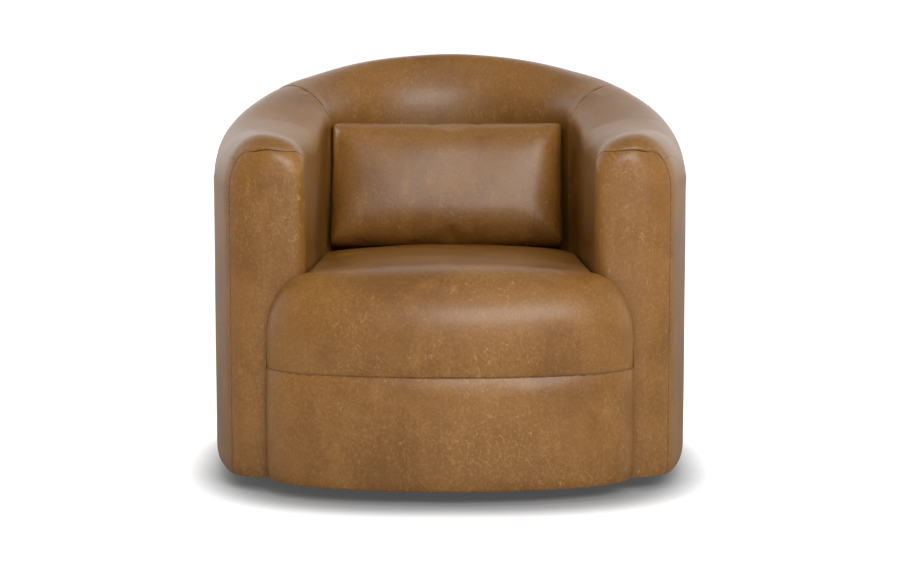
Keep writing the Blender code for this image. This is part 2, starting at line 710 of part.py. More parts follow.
def make_seat_frame():
    board = plate("bottom_board", [tub_outline(FRAME_OUTSIDE)], BOARD_UNDERSIDE, BOARD_TOP, PLYWOOD)
    bore = BOLT_RADIUS + BOLT_PLAY
    cut(board, cylinder("board_bore", bore, 0, BOARD_TOP + BOARD, 0, 0, None, 24, CUTTERS))
    cloth_top = BOARD_UNDERSIDE - FIT
    cloth_edge = tub_outline(FRAME_OUTSIDE + DUST_CLOTH_MARGIN)
    hole = circle(RACE_OUTER_RADIUS + RACE_RIB)
    plate("dust_cover", [cloth_edge, hole], cloth_top - DUST_CLOTH, cloth_top, BLACK_CLOTH)

    low = BOARD_TOP + FIT
    inner = SEAT_FRAME_HALF_WIDTH - RAIL_WIDTH
    front = SEAT_FRAME_FRONT
    back = SEAT_FRAME_BACK
    wide = SEAT_FRAME_HALF_WIDTH
    box("seat_front_rail", (-wide, front, low), (wide, front + RAIL_WIDTH, DECK), TIMBER)
    box("seat_back_rail", (-wide, back - RAIL_WIDTH, low), (wide, back, DECK), TIMBER)
    between = (front + RAIL_WIDTH + FIT, back - RAIL_WIDTH - FIT)
    box("seat_rail_left", (-wide, between[0], low), (-inner, between[1], DECK), TIMBER)
    box("seat_rail_right", (inner, between[0], low), (wide, between[1], DECK), TIMBER)


def make_springs():
    """Zigzag spring wires that lie across the front and back rails, and the felt on top of them."""
    start = SEAT_FRAME_FRONT + RAIL_WIDTH / 4
    end = SEAT_FRAME_BACK - RAIL_WIDTH / 4
    height = DECK + FIT + SPRING_WIRE / 2
    count = SPRING_BENDS * POINTS_PER_BEND + 1
    along = np.linspace(0, 1, count)
    swing = SPRING_SWING * np.sin(along * SPRING_BENDS * math.pi)
    for i in range(SPRING_COUNT):
        middle = (i - (SPRING_COUNT - 1) / 2) * SPRING_PITCH
        curve = bpy.data.curves.new("spring", "CURVE")
        curve.dimensions = "3D"
        curve.bevel_depth = SPRING_WIRE / 2
        curve.bevel_resolution = 0
        curve.use_fill_caps = True
        line = curve.splines.new("POLY")
        line.points.add(count - 1)
        for point, part_way, aside in zip(line.points, along, swing):
            point.co = (middle + aside, start + (end - start) * part_way, height, 1)
        guide = bpy.data.objects.new("spring_path", curve)
        curve_to_part("seat_spring_" + str(i + 1), guide, SPRING_STEEL)
    angle = np.linspace(0, math.pi, SEAT_ACROSS + 1)
    x, y = front_bow(angle, SEAT_FRONT_HALF_WIDTH, BASE_FRONT_DEPTH, PADDING_DEPTH + SKIN_GAP)
    front = [(a, b) for a, b in zip(x, y)][::-1]
    reach = np.linspace(ARM_END - SEAT_TUCK, SEAT_BACK_ANGLE * MID_RADIUS, 9)
    wall_x, wall_y, over_x, over_y, _ = wall_line(reach)
    aside = HALF_WALL + SKIN_GAP + SEAT_TUCK
    side = [(a, b) for a, b in zip(wall_x - over_x * aside, wall_y - over_y * aside)]
    side = [(side[0][0], -FRONT_WALL)] + side
    outline = front + side + [(-a, b) for a, b in reversed(side)]
    plate("deck_felt", [outline], FELT_BOTTOM, FELT_BOTTOM + FELT, FELT_GREY)


def make_swivel():
    """Plinth on glides, two pressed races with balls in a cage between them, and the bolt that holds all."""
    plinth_top = PLINTH_BOTTOM + PLINTH
    for i in range(GLIDE_COUNT):
        angle = 2 * math.pi * (i + 0.5) / GLIDE_COUNT
        x = GLIDE_CIRCLE * math.cos(angle)
        y = GLIDE_CIRCLE * math.sin(angle)
        cylinder("floor_glide_" + str(i + 1), GLIDE_RADIUS, 0, GLIDE_HEIGHT, x, y, NYLON, 24)
    disc = cylinder("plinth_disc", PLINTH_RADIUS, PLINTH_BOTTOM, plinth_top, 0, 0, BLACK_PAINT, 64)
    through = cylinder("plinth_bore", BOLT_RADIUS + FIT, 0, plinth_top * 2, 0, 0, None, 24, CUTTERS)
    sink_top = PLINTH_BOTTOM + BOLT_HEAD + FIT
    sink = cylinder("plinth_sink", COUNTERBORE_RADIUS, -PLINTH, sink_top, 0, 0, None, 24, CUTTERS)
    cut(disc, through)
    cut(disc, sink)

    low = LOWER_RACE
    turned(
        "lower_race",
        [
            (RACE_OUTER_RADIUS, low + RACE_PLATE + RACE_RIB),
            (RACE_OUTER_RADIUS, low),
            (RACE_INNER_RADIUS, low),
            (RACE_INNER_RADIUS, low + RACE_PLATE),
            (RACE_OUTER_RADIUS - RACE_PLATE, low + RACE_PLATE),
            (RACE_OUTER_RADIUS - RACE_PLATE, low + RACE_PLATE + RACE_RIB),
        ],
        ZINC_STEEL,
    )
    high = UPPER_RACE
    turned(
        "upper_race",
        [
            (RACE_OUTER_RADIUS, high + RACE_PLATE),
            (RACE_OUTER_RADIUS, high),
            (RACE_INNER_RADIUS + RACE_PLATE, high),
            (RACE_INNER_RADIUS + RACE_PLATE, high - RACE_RIB),
            (RACE_INNER_RADIUS, high - RACE_RIB),
            (RACE_INNER_RADIUS, high + RACE_PLATE),
        ],
        ZINC_STEEL,
    )
    middle = BALL_LOW + BALL_RADIUS
    edge = CAGE_BAND / 2
    cage = turned(
        "ball_cage",
        [
            (BALL_CIRCLE + edge, middle + CAGE_THICKNESS / 2),
            (BALL_CIRCLE + edge, middle - CAGE_THICKNESS / 2),
            (BALL_CIRCLE - edge, middle - CAGE_THICKNESS / 2),
            (BALL_CIRCLE - edge, middle + CAGE_THICKNESS / 2),
        ],
        NYLON,
    )
    for i in range(BALL_COUNT):
        angle = 2 * math.pi * (i + 0.25) / BALL_COUNT
        x = BALL_CIRCLE * math.cos(angle)
        y = BALL_CIRCLE * math.sin(angle)
        work = bmesh.new()
        bmesh.ops.create_uvsphere(work, u_segments=12, v_segments=8, radius=BALL_RADIUS)
        mesh = bpy.data.meshes.new("ball")
        work.to_mesh(mesh)
        work.free()
        ball = place("bearing_ball_" + str(i + 1), mesh, ZINC_STEEL)
        ball.location = (x, y, middle)
        pocket = cylinder("ball_pocket", BALL_RADIUS + BALL_PLAY, low, high, x, y, None, 16, CUTTERS)
        cut(cage, pocket)

    head_bottom = PLINTH_BOTTOM
    head_top = head_bottom + BOLT_HEAD
    washer_bottom = BOARD_TOP + FIT
    nut_bottom = washer_bottom + WASHER + FIT
    turned_bolt(head_bottom, head_top, nut_bottom + NUT + BOLT_TAIL)
    turned(
        "bolt_washer",
        [
            (WASHER_RADIUS, washer_bottom + WASHER),
            (WASHER_RADIUS, washer_bottom),
            (BOLT_RADIUS + BOLT_PLAY, washer_bottom),
            (BOLT_RADIUS + BOLT_PLAY, washer_bottom + WASHER),
        ],
        ZINC_STEEL,
        24,
    )
    nut = cylinder("bolt_nut", NUT_RADIUS, nut_bottom, nut_bottom + NUT, 0, 0, ZINC_STEEL, 6)
    bore = cylinder("nut_bore", BOLT_RADIUS + FIT, 0, nut_bottom * 2, 0, 0, None, 24, CUTTERS)
    cut(nut, bore)


def turned_bolt(head_bottom, head_top, end):
    """A round-headed bolt: the profile runs from the axis at the tip, down the shank and round the head."""
    mesh = bpy.data.meshes.new("swivel_bolt")
    profile = [
        (0, end),
        (BOLT_RADIUS, end),
        (BOLT_RADIUS, head_top),
        (BOLT_HEAD_RADIUS, head_top),
        (BOLT_HEAD_RADIUS, head_bottom),
        (0, head_bottom),
    ]
    mesh.from_pydata([(r, 0, z) for r, z in profile], [(i, i + 1) for i in range(len(profile) - 1)], [])
    bolt = place("swivel_bolt", mesh, ZINC_STEEL)
    screw = bolt.modifiers.new("turn", "SCREW")
    screw.steps = 24
    screw.render_steps = 24
    screw.use_merge_vertices = True
    screw.merge_threshold = 0.0001


def pillow_half(depth, facing, seam_gap):
    """One face of the pillow, a dome over a rectangle whose sides draw in between pointed corners.
    Its thickness is a root of a product of two side falls, so it swells fast from the seam."""
    u = np.linspace(-1, 1, PILLOW_ACROSS + 1)
    v = np.linspace(-1, 1, PILLOW_UP + 1)
    u = np.sin(u * math.pi / 2)[:, None]
    v = np.sin(v * math.pi / 2)[None, :]
    half_width = PILLOW_WIDTH / 2 - depth
    half_height = PILLOW_HEIGHT / 2 - depth
    x = u * (half_width - PILLOW_SIDE_DRAW * (1 - v**2) * u**2)
    z = v * (half_height - PILLOW_SIDE_DRAW * (1 - u**2) * v**2)
    swell = ((1 - u**PILLOW_SQUARENESS) * (1 - v**PILLOW_SQUARENESS)) ** PILLOW_EDGE_SLIMNESS
    y = facing * (seam_gap + (PILLOW_THICKNESS / 2 - depth - seam_gap) * swell)
    return x, y, z


def lean(x, y, z):
    """Tilt the pillow back about the middle of its lower edge, which comes to the origin."""
    up = z + PILLOW_HEIGHT / 2
    cos = math.cos(PILLOW_LEAN)
    sin = math.sin(PILLOW_LEAN)
    return np.stack([x + PILLOW_SHIFT, y * cos + up * sin, up * cos - y * sin], axis=-1)


def facets(grids):
    """A search tree over the faces of grids of points."""
    points = []
    faces = []
    for grid in grids:
        rows, columns, _ = grid.shape
        first = len(points)
        points += [tuple(point) for point in grid.reshape(-1, 3)]
        faces += [tuple(first + i for i in face) for face in grid_faces(rows, columns)]
    return BVHTree.FromPolygons(points, faces)


def room(grids, direction, obstacles):
    """How far grids of points can move in a direction before the first point meets an obstacle."""
    tree = facets(obstacles)
    found = [tree.ray_cast(point, direction)[3] for grid in grids for point in grid.reshape(-1, 3)]
    return min(distance for distance in found if distance is not None)


def pillow_place(covers):
    """Where the leaning pillow comes to rest: pushed back to the tub's leather, then down onto the seat."""
    start = np.array([0, 0, SEAT_EDGE_HEIGHT + SEAT_CROWN])
    arm = arm_runs(0)
    tub = [inside_faces(run) for run in (back_runs(0), arm, -arm[::-1])]
    raised = [cover + start for cover in covers]
    back = np.array([0, room(raised, (0, 1, 0), tub) - FIT, 0])
    pushed = [cover + back for cover in raised]
    seat = [seat_surface(0)]
    down = min(room(pushed, (0, 0, -1), seat), room(seat, (0, 0, 1), pushed)) - FIT
    return start + back + np.array([0, 0, -down])


def make_pillow():
    """Two leather faces sewn edge to edge, and the fill between them."""
    covers = [lean(*pillow_half(0, facing, FIT / 2 + LEATHER)) for facing in (-1, 1)]
    spot = pillow_place(covers)
    skin("pillow_front_cover", covers[0] + spot, LEATHER_BROWN)
    skin("pillow_back_cover", covers[1] + spot, LEATHER_BROWN, flip=True)
    front = lean(*pillow_half(PADDING_DEPTH + LEATHER, -1, FIT)) + spot
    back = lean(*pillow_half(PADDING_DEPTH + LEATHER, 1, FIT)) + spot
    rows, columns, _ = front.shape
    faces = grid_faces(rows, columns)
    shift = rows * columns
    faces += [tuple(shift + i for i in reversed(face)) for face in grid_faces(rows, columns)]
    loop = [r * columns for r in range(rows)]
    loop += [(rows - 1) * columns + c for c in range(1, columns)]
    loop += [r * columns + columns - 1 for r in range(rows - 2, -1, -1)]
    loop += list(range(columns - 2, 0, -1))
    for i, here in enumerate(loop):
        after = loop[(i + 1) % len(loop)]
        faces.append((here, after, shift + after, shift + here))
    points = np.vstack([front.reshape(-1, 3), back.reshape(-1, 3)])
    place("pillow_fill", mesh_from("pillow_fill", points, faces, closed=True), FOAM)


def main():
    clear_scene()
    make_swivel()
    make_seat_frame()
    make_springs()
    make_tub_frame()
    make_tub_padding()
    make_tub_covers()
    make_base_front()
    make_seat()
    make_pillow()


main()
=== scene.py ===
# %% [markdown]
# # A leather swivel armchair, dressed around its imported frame
# The frame below is the engineering model: boards, rails, springs, a ball-bearing swivel, and plain solids
# that stand for the leather and its padding. This lesson puts the upholstery on it. Each padded piece is
# worked out again as a fine surface from the same few measures, so that it lies on its plain solid, and
# then gets what that leaves out: fuller padding where the photograph shows it, rolled seams, puckers,
# sagging and the leather itself.

# %% Load the frame
import json
import math

import bmesh
import bpy
import numpy as np
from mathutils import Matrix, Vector


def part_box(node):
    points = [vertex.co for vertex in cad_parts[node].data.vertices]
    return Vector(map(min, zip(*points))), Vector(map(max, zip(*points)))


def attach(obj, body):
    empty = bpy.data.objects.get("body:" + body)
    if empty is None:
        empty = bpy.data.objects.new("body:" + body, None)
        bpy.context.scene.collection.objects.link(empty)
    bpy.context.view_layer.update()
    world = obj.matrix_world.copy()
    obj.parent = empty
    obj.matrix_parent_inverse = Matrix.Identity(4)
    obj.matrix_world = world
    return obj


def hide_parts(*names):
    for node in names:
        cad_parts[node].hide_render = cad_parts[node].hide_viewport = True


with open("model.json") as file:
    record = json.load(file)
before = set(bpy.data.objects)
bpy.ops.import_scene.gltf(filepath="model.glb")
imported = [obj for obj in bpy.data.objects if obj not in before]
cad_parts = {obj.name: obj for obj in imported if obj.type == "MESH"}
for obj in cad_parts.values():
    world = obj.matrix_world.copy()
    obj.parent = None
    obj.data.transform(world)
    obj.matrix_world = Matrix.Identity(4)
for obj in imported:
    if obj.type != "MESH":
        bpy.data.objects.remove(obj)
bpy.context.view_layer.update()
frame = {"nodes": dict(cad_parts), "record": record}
nodes = frame["nodes"]
scene = bpy.context.scene

# %% [markdown]
# ## The camera
# The photograph looks straight at the chair's front from a little above its back, through a long lens, so
# that the sides hardly converge. The lens length below comes from the photograph's own scale: at 4.5 m the
# chair's 864 mm fill a little over half of the picture's width.

# %% Camera
CAMERA_PLACE = (0.0, -4.5, 0.90)
CAMERA_DOWN = math.radians(7.24)
LENS = 97.83

eye = bpy.data.cameras.new("photo_camera")
eye.sensor_width = 36.0
eye.sensor_fit = "HORIZONTAL"
eye.lens = LENS
camera = bpy.data.objects.new("photo_camera", eye)
camera.location = CAMERA_PLACE
camera.rotation_euler = (math.pi / 2 - CAMERA_DOWN, 0.0, 0.0)
scene.collection.objects.link(camera)
scene.camera = camera
print("camera at", tuple(camera.location), "lens", eye.lens, "mm")

# %% [markdown]
# ## The tub's measures
# The arms and the back are one wall bent round in plan: a half circle at the back, and two arms that bow in
# towards the front. Its crest is level over the arms and climbs to the middle of the back. The measures are
# those of the plain solids, so that each surface lies on its solid. Only the padding inside the arms
# differs: the photograph shows it up to 50 mm fuller than an even wall would be.

# %% Measures of the tub, in metres
WALL = 0.142
HALF_WALL = WALL / 2
MID_RADIUS = 0.432 - HALF_WALL
ARM_BOW_RADIUS = 0.85
ARM_REACH = 0.300
BACK_TOP = 0.741
ARM_TOP = 0.616
RISE_START = -0.10
RISE_POWER = 1.25
OUTER_SHOULDER = 0.090
INNER_SHOULDER = 0.048
BACK_SHOULDER = 0.130
SHOULDER_CURVE = 1.95
OUTER_CORNER = 0.052
INNER_CORNER = 0.030
LIP_SLOPE = 0.080
LIP_EDGE = 0.030
ARM_SWELL = 0.008
SWELL_ENDS = 0.36
SWELL_FULL = 0.09
HEM = 0.025
ROUND_LENGTH = MID_RADIUS * math.pi / 2
ARM_END = ROUND_LENGTH + ARM_REACH
SEAM_FOOT = MID_RADIUS * math.radians(63)
SEAM_CREST = MID_RADIUS * math.radians(58)
ARM_MIDDLE = MID_RADIUS - ARM_BOW_RADIUS + math.sqrt(ARM_BOW_RADIUS**2 - ARM_REACH**2)
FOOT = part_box("back_foam")[0].z
LEATHER = 0.002
SEAM_GAP = 0.00015
print("arm's front middle at x =", round(ARM_MIDDLE, 4), "and the padding's foot at z =", round(FOOT, 4))


# %% Round corners, and the line that the wall follows
def fold_in(to_edge, radius):
    """How far a round corner draws a surface in: radius minus the height of a quarter circle of that radius,
    at each distance from the edge that it rounds."""
    reach = np.clip(radius - to_edge, 0, radius)
    return radius - np.sqrt(radius**2 - reach**2)


def between(x, low, high):
    """An S-shaped step from 0 at low to 1 at high: with t as x's share of the way, 3 t squared minus 2 t
    cubed."""
    share = np.clip((x - low) / (high - low), 0, 1)
    return share * share * (3 - 2 * share)


def wall_line(run):
    """The wall's mid-line in plan: for each distance along it from the back's middle (right is positive) the
    point, the direction outwards and the distance past the half circle. After the half circle each arm is an
    arc of ARM_BOW_RADIUS."""
    side = np.where(run < 0, -1.0, 1.0)
    turn = np.minimum(np.abs(run) / MID_RADIUS, math.pi / 2)
    ahead = np.maximum(np.abs(run) - ROUND_LENGTH, 0)
    bow = ARM_BOW_RADIUS - np.sqrt(ARM_BOW_RADIUS**2 - ahead**2)
    x = MID_RADIUS * np.sin(turn) - bow
    y = MID_RADIUS * np.cos(turn) - ahead
    return side * x, y, side * np.sin(turn), np.cos(turn), ahead


def off_wall(run, across):
    """Point in plan at a distance across the wall from its mid-line, positive outwards."""
    x, y, over_x, over_y, _ = wall_line(run)
    return x + over_x * across, y + over_y * across


def grid_of(x, y, z):
    """A grid of points from three coordinates. Each may be a whole grid, a row, a column or a number."""
    return np.stack(np.broadcast_arrays(x, y, z), axis=-1)


# %% How high and how wide the wall is
def rim_height(y):
    """Height of the crest: ARM_TOP, plus the rest of the way to BACK_TOP times a power of y's share of the
    way from RISE_START to the back."""
    rise = np.clip((y - RISE_START) / (MID_RADIUS - RISE_START), 0, 1) ** RISE_POWER
    return ARM_TOP + (BACK_TOP - ARM_TOP) * rise


def inner_shoulder(run):
    """Height of the inner shoulder: INNER_SHOULDER over the arms, growing to BACK_SHOULDER in the middle of
    the back with the squared cosine of the turn."""
    turn = np.minimum(np.abs(run) / MID_RADIUS, math.pi / 2)
    return INNER_SHOULDER + (BACK_SHOULDER - INNER_SHOULDER) * np.cos(turn) ** 2


def running_mean(line, places):
    """Evenly spaced values, each made a bell-weighted mean of an odd number of places round it."""
    bell = np.hanning(places)
    return np.convolve(np.pad(line, places // 2, mode="edge"), bell / bell.sum(), mode="valid")


FULLER_RUNS = [0.0, 0.095, 0.189, 0.290, 0.372, 0.466, 0.567, 0.667, 0.767, 0.837, 0.867, 1.2]
FULLER_BY = [0.0, 0.0, 0.004, 0.018, 0.034, 0.047, 0.052, 0.043, 0.020, -0.006, -0.014, -0.014]
FULLER_PLACE = np.linspace(-0.1, 1.1, 1201)
FULLER = running_mean(np.interp(np.abs(FULLER_PLACE), FULLER_RUNS, FULLER_BY), 121)


def inner_half(run):
    """The wall's half-width on its inner side: half of the wall plus the fuller padding of the arms, which
    makes the tub a U inside. That is straight lines between measured places, smoothed."""
    return HALF_WALL + np.interp(np.abs(run), FULLER_PLACE, FULLER)


def lip_drop(to_front):
    """How far the crest has dropped at a distance behind the front: an easy slope, an eighth of a circle of
    radius LIP_SLOPE, and then the edge, another eighth of radius LIP_EDGE."""
    half = math.sqrt(0.5)
    edge = LIP_EDGE * (1 - half)
    begin = edge + LIP_SLOPE * half
    slope = LIP_SLOPE - np.sqrt(LIP_SLOPE**2 - np.clip(begin - to_front, 0, LIP_SLOPE * half) ** 2)
    sine = 1 - np.clip(to_front, 0, edge) / LIP_EDGE
    return slope + LIP_EDGE * (half - np.sqrt(1 - sine**2))


def wall_edges(run, depth):
    """Half-widths of the wall inwards and outwards and its crest's height, at a depth under the leather,
    drawn in by round corners near the arm's front. The crest swells a little over the arm's front half."""
    _, y, _, _, ahead = wall_line(run)
    to_front = np.maximum(ARM_REACH - ahead, 0)
    inner = inner_half(run) - depth - fold_in(to_front, INNER_CORNER)
    outer = HALF_WALL - depth - fold_in(to_front, OUTER_CORNER)
    swell = ARM_SWELL * between(to_front, SWELL_ENDS, SWELL_FULL)
    crest = rim_height(y) + swell - depth - lip_drop(to_front)
    return inner, outer, crest


# %% [markdown]
# ## One surface for every part of the tub
# Cut across, the wall is an arch: straight up the inner side, over a crest with round shoulders, and down
# the outer side. A point on the arch is named by one number, from 0 at the inner foot to 3 at the outer
# foot, and a point along the wall by its run. Two numbers in, one point out: that is all that a surface
# needs. A third, the depth, pushes the point in, and every roll, pucker and dent below is written as such a
# depth.

# %% The tub's surface
def wall_surface(run, around, depth=0.0):
    """Points of the tub. around is 0 to 1 up the inner side, 1 to 2 over the crest and 2 to 3 down the outer
    side. The shoulders are quarters of a superellipse: across is the half-width times the cosine to the power
    2/n, and the height below the crest is the shoulder times (1 minus the sine to the power 2/n)."""
    inner, outer, crest = wall_edges(run, depth)
    angle = math.pi * (1 - np.clip(around - 1, 0, 1))
    cosine = np.cos(angle)
    out = np.sign(cosine) * np.abs(cosine) ** (2 / SHOULDER_CURVE)
    up = np.abs(np.sin(angle)) ** (2 / SHOULDER_CURVE)
    inside = out < 0
    across = np.where(inside, inner, outer) * out
    shoulder = np.where(inside, inner_shoulder(run), OUTER_SHOULDER) - depth
    height = crest - shoulder * (1 - up)
    height = np.where(around < 1, FOOT + (height - FOOT) * np.clip(around, 0, 1), height)
    height = np.where(around > 2, height + (HEM - height) * np.clip(around - 2, 0, 1), height)
    return grid_of(*off_wall(run, across), height)


def steps(length, step, fine=0.0005, start=True, end=True):
    """Distances from 0 to length: fine steps at the ends, each 1.5 times the last, up to the usual step."""
    growth = [0.0]
    size = fine
    while size < step:
        growth.append(growth[-1] + size)
        size *= 1.5
    growth = np.array(growth)
    first = growth if start else growth[:1]
    last = length - (growth if end else growth[:1])[::-1]
    count = max(int((last[0] - first[-1]) / step), 1)
    middle = np.linspace(first[-1], last[0], count + 1)[1:-1]
    return np.concatenate([first, middle, last])


# %% Softness: rises and hollows, and gathers beside a seam
def unevenness(points, waves, seed):
    """Soft rises and hollows. For each size and height in waves: ten plane waves in seeded random directions,
    each about that size long, added up and scaled to about that height."""
    forms = 0.0
    for number, (size, height) in enumerate(waves):
        rng = np.random.default_rng(seed + number)
        total = np.zeros(points.shape[:-1])
        for _ in range(10):
            direction = rng.normal(size=3)
            direction /= np.linalg.norm(direction)
            turns = 2 * math.pi / (size * rng.uniform(0.7, 1.6))
            total += np.sin(points @ direction * turns + rng.uniform(0, 2 * math.pi))
        forms = forms + height * total / 4
    return forms


def at_least(values, low, blur=0.0008):
    """Values kept above a low one without a crease: half of the sum of the value and the root of its square
    plus a blur, both taken from the low value."""
    above = values - low
    return low + 0.5 * (above + np.sqrt(above**2 + blur**2))


def puckers(along, off, pitch, height, reach, seed):
    """Small gathers beside a seam: a squared wave along the seam whose pitch and strength wander, fading with
    the square of the distance off the seam."""
    rng = np.random.default_rng(seed)
    a, b, c = rng.uniform(0, 2 * math.pi, 3)
    wander = 1.6 * np.sin(along / pitch * 1.1 + a) + 1.1 * np.sin(along / pitch * 0.37 + b)
    wave = 0.5 + 0.5 * np.sin(2 * math.pi * along / pitch + wander)
    strength = 0.55 + 0.45 * np.sin(along / pitch * 0.61 + c)
    return height * strength * wave**2 * np.exp(-((off / reach) ** 2))


# %% [markdown]
# ## From grids of points to closed pieces
# A padded piece has to be closed, or light would leak into it. Most of them are two grids of the same size:
# the leather you see, and a plainer grid on the hidden side, joined round their edges.

# %% Helpers that build meshes
def quads_of(rows, columns, first=0):
    """Corner numbers of the quads of a grid, as one array."""
    here = (np.arange(rows - 1)[:, None] * columns + np.arange(columns - 1)[None, :]).ravel() + first
    return np.stack([here, here + columns, here + columns + 1, here + 1], axis=1)


def rim_quads(outer_line, inner_line):
    """Quads that join two lines of points with the same count."""
    return np.stack([outer_line[:-1], outer_line[1:], inner_line[1:], inner_line[:-1]], axis=1)


def weld(mesh, distance=0.00002):
    """Join points that lie on each other and turn the faces outwards."""
    work = bmesh.new()
    work.from_mesh(mesh)
    bmesh.ops.remove_doubles(work, verts=work.verts, dist=distance)
    bmesh.ops.dissolve_degenerate(work, edges=work.edges, dist=distance / 4)
    bmesh.ops.recalc_face_normals(work, faces=work.faces)
    work.to_mesh(mesh)
    work.free()


def piece(name, points, quads, crease, caps=(), closed=True):
    """An object from points, an array of quads and a few many-sided caps. crease is how deep in a seam each
    point lies, from 0 to 1, kept on the mesh: the leather paints shade by it and is rougher there."""
    mesh = bpy.data.meshes.new(name)
    mesh.from_pydata(points.reshape(-1, 3).tolist(), [], quads.tolist() + [list(cap) for cap in caps])
    mesh.attributes.new("crease", "FLOAT", "POINT").data.foreach_set("value", crease.ravel())
    if closed:
        weld(mesh)
    mesh.shade_smooth()
    mesh.set_sharp_from_angle(angle=math.radians(60))
    thing = bpy.data.objects.new(name, mesh)
    scene.collection.objects.link(thing)
    return thing


def padded_shell(name, outside, inside, crease):
    """A closed piece between two grids of the same size, joined round all four edges."""
    rows, columns, _ = outside.shape
    size = rows * columns
    grid = np.arange(size).reshape(rows, columns)
    quads = [quads_of(rows, columns), quads_of(rows, columns, size)[:, ::-1]]
    for line in (grid[0], grid[-1], grid[:, 0], grid[:, -1]):
        quads.append(rim_quads(line, line + size))
    points = np.concatenate([outside, inside])
    return piece(name, points, np.concatenate(quads), np.append(crease, np.ones(size)))


def say(thing):
    """Print what was made: its faces and its box in millimetres."""
    points = np.empty(len(thing.data.vertices) * 3)
    thing.data.vertices.foreach_get("co", points)
    points = points.reshape(-1, 3) * 1000
    low, high = points.min(0).round(1).tolist(), points.max(0).round(1).tolist()
    print(thing.name, len(thing.data.polygons), "faces, from", low, "to", high)


# %% [markdown]
# ## The seams' rolls
# Two padded pieces that are sewn together each roll into the seam. So near each edge the surface follows a
# quarter circle of about 2 mm down, and the two rolls make the fine groove that shows where one hide ends
# and the next begins. Its dark line is partly the groove's own shade and partly painted shade: the leather
# darkens each point by how deep in a seam it lies.

# %% Seam rolls and the hem
SEAM_ROLL = 0.0018
SEAM_CALM = 0.03
HEM_ROLL = 0.024
HEM_TUCK = 0.006


def seam_roll(off, deep=SEAM_ROLL):
    """Depth beside a seam: a quarter circle as deep as it is wide."""
    return fold_in(off, deep)


def creased(off, reach=0.0018):
    """How far into a seam a point is: 1 at the seam, fading to 0 at the reach. The leather paints shade by
    it.
    """
    return (1 - np.clip(off / reach, 0, 1)) ** 1.5


def hem_tuck(height):
    """The leather turns under the frame at its foot: a quarter ellipse HEM_ROLL high and HEM_TUCK deep."""
    return fold_in(height - HEM, HEM_ROLL) * HEM_TUCK / HEM_ROLL


# %% [markdown]
# ## The back
# One padded piece runs from under the seat up the inside of the back, over the crest and a hand's width
# down the outside, between the two seams that fan out from the seat's back corners. Its padding is thick
# over the crest and thinner lower down. The hidden grid follows the frame's top rail and inner board, so
# the piece hooks over the rail the way real padding does.

# %% The hidden side of the tub's padding
BOARD_INSET = 0.0585
RAIL_INSET = 0.0230
RAIL_DROP = 0.0495
SHELF_GAP = 0.0005


def frame_side(run, count):
    """The path of the padding's hidden side, from the inner foot up the inner board, over the top rail and
    out to the outer panel's top edge, in count points."""
    _, outer, crest = wall_edges(run, 0.0)
    board, rail = outer - BOARD_INSET, outer - RAIL_INSET
    top, shelf = crest - RAIL_DROP, crest - OUTER_SHOULDER + SHELF_GAP

    def path(*corners):
        """Straight lines from corner to corner, for each run."""
        lines = np.stack(np.broadcast_arrays(*corners), axis=-1)
        return np.array([np.interp(np.linspace(0, 1, count), [0.0, 0.6, 0.8, 1.0], line) for line in lines])

    x, y = off_wall(run[:, None], path(board, board, rail, rail))
    return grid_of(x, y, path(FOOT, top, top, shelf))


INNER_LENGTH = 0.62
CREST_LENGTH = 0.235
SHOULDER_LENGTH = 0.150
ARCH_TOP = 1.5
AROUND_INNER = steps(INNER_LENGTH, 0.0050, start=False, end=False) / INNER_LENGTH
AROUND_CREST = 1 + steps(CREST_LENGTH, 0.0034, start=False)[1:] / CREST_LENGTH
AROUND_BACK = np.concatenate([AROUND_INNER, AROUND_CREST])
print("grid across the back:", len(AROUND_BACK), "points")


# %% Back
def arm_seam(around):
    """Run of the seam between the back and an arm: on the inner side it lies further forward than on the
    crest, so that it crosses the shoulder at a slant."""
    return SEAM_FOOT + (SEAM_CREST - SEAM_FOOT) * between(around, 1.05, ARCH_TOP)


def seam_climb(points):
    """A measure that grows along a seam between back and arm, up the inner side and over the crest."""
    return points[..., 2] + points[..., 0] * 0.3


def make_back():
    """The inside back, its crest and the top of the outside: runs between both arm seams, arches across."""
    around = AROUND_BACK[None, :]
    length = 2 * (arm_seam(around) - SEAM_GAP)
    share = steps(2 * SEAM_CREST, 0.0042)[:, None] / (2 * SEAM_CREST)
    run = (share - 0.5) * length
    flat = wall_surface(run, around)
    to_seam = np.minimum(share, 1 - share) * length
    to_edge = np.where(around > ARCH_TOP, (2 - around) * SHOULDER_LENGTH, 1.0)
    depth = seam_roll(to_seam) + seam_roll(to_edge)
    depth = depth + puckers(seam_climb(flat), to_seam, pitch=0.021, height=0.0011, reach=0.016, seed=3)
    depth = depth + puckers(run, to_edge, pitch=0.024, height=0.0009, reach=0.014, seed=4)
    soft = unevenness(flat, [(0.22, 0.0014), (0.08, 0.0004)], seed=5) + 0.001
    grid = wall_surface(run, around, depth + soft * between(to_seam, 0, SEAM_CALM))
    crease = np.maximum(creased(to_seam), creased(to_edge))
    hidden_run = (share[:, 0] - 0.5) * (SEAM_FOOT + SEAM_CREST)
    return padded_shell("back_pad", grid, frame_side(hidden_run, grid.shape[1]), crease)


back_pad = make_back()
say(back_pad)

# %% [markdown]
# ## The arms
# Each arm's leather goes over the crest and folds down over the front edge, where it is sewn to a separate
# front panel. That seam starts at the side, some 30 mm behind the front, climbs over the shoulder and runs
# just under the top edge of the front face. It is written as one curve, the distance behind the front for
# each place on the arch, and both pieces end on it, so no crack can open between them.

